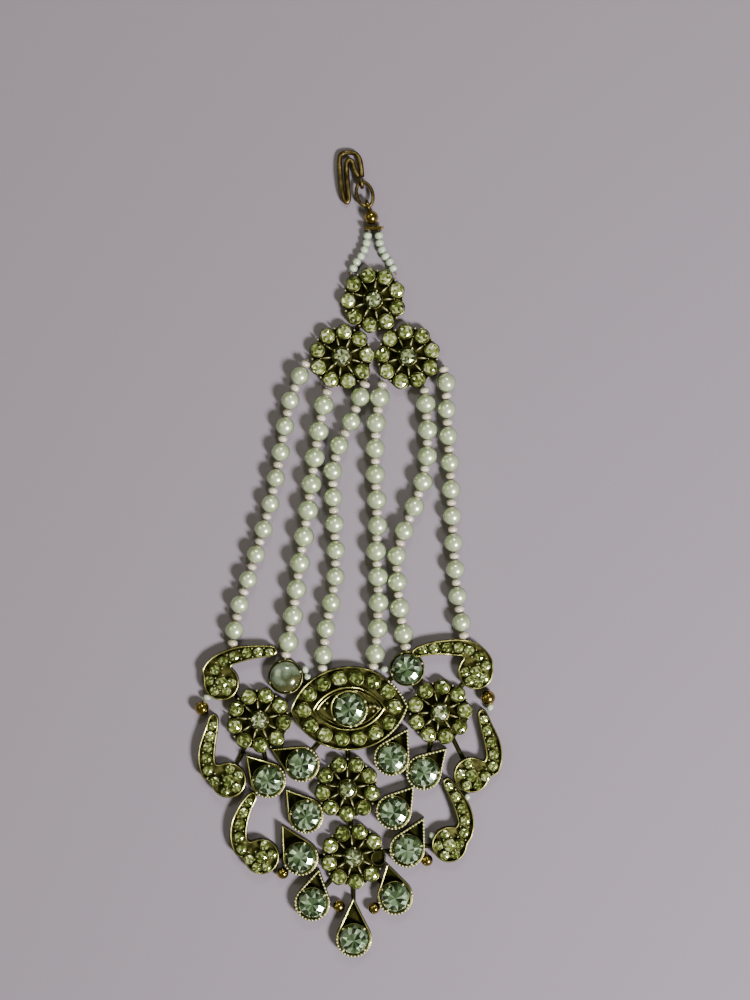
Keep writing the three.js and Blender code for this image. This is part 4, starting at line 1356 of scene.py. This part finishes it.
def soft_light(name, place, size, power, colour):
    data = bpy.data.lights.new(name, "AREA")
    data.shape = "DISK"
    data.size = size
    data.energy = power
    data.color = colour
    lamp = bpy.data.objects.new(name, data)
    lamp.location = place
    lamp.rotation_euler = (Vector(LIT) - Vector(place)).to_track_quat("-Z", "Y").to_euler()
    bpy.context.scene.collection.objects.link(lamp)


class StageOperator(bpy.types.Operator):
    """Make the surface, the light and the camera"""

    bl_idname = "tikka.stage"
    bl_label = "Stage"

    def execute(self, context):
        sizes = context.scene.tikka_stage
        reach = 6
        shape = Shape()
        corners = [(x * reach, y * reach, 0) for x, y in ((-1, -1), (1, -1), (1, 1), (-1, 1))]
        shape.add(corners, [(0, 1, 2, 3)])
        floor = shape.made("floor", plain_floor())
        world = bpy.data.worlds.new("studio")
        world.use_nodes = True
        sky = world.node_tree.nodes["Background"]
        sky.inputs["Color"].default_value, sky.inputs["Strength"].default_value = SKY
        context.scene.world = world
        for name, (place, size, power, colour) in LIGHTS.items():
            soft_light(name, place, size, power, colour)
        middle = Vector(middle_of("stone_marquise")) + Vector(IMAGE_MIDDLE)
        data = bpy.data.cameras.new("camera")
        data.sensor_fit = "VERTICAL"
        data.sensor_height = 24
        data.lens = 24 * sizes.height / sizes.view_length
        data.clip_start = 0.01
        camera = bpy.data.objects.new("camera", data)
        camera.location = (middle[0], middle[1], sizes.height)
        context.scene.collection.objects.link(camera)
        context.scene.camera = camera
        return {"FINISHED"}


OPERATORS = (
    PanelOperator,
    ClusterOperator,
    StonesOperator,
    StrandsOperator,
    SeedStringsOperator,
    FindingsOperator,
    StageOperator,
)
GROUPS = {
    "tikka_metal": TikkaMetal,
    "tikka_stones": TikkaStones,
    "tikka_beads": TikkaBeads,
    "tikka_stage": TikkaStage,
}


class TikkaPanel(bpy.types.Panel):
    """Sizes, colours and buttons for the tikka"""

    bl_idname = "VIEW3D_PT_tikka"
    bl_label = "Tikka"
    bl_space_type = "VIEW_3D"
    bl_region_type = "UI"
    bl_category = "Tikka"

    def draw(self, context):
        for name, group in GROUPS.items():
            settings = getattr(context.scene, name)
            for key in group.__annotations__:
                self.layout.prop(settings, key)
        for operator in OPERATORS:
            self.layout.operator(operator.bl_idname)


def register():
    for item in (*GROUPS.values(), *OPERATORS, TikkaPanel):
        bpy.utils.register_class(item)
    for name, group in GROUPS.items():
        setattr(bpy.types.Scene, name, PointerProperty(type=group))


def unregister():
    for name in GROUPS:
        delattr(bpy.types.Scene, name)
    for item in (TikkaPanel, *reversed(OPERATORS), *reversed(list(GROUPS.values()))):
        bpy.utils.unregister_class(item)


def main():
    register()
    for operator in OPERATORS:
        section, name = operator.bl_idname.split(".")
        getattr(getattr(bpy.ops, section), name)()


if __name__ == "__main__":
    main()
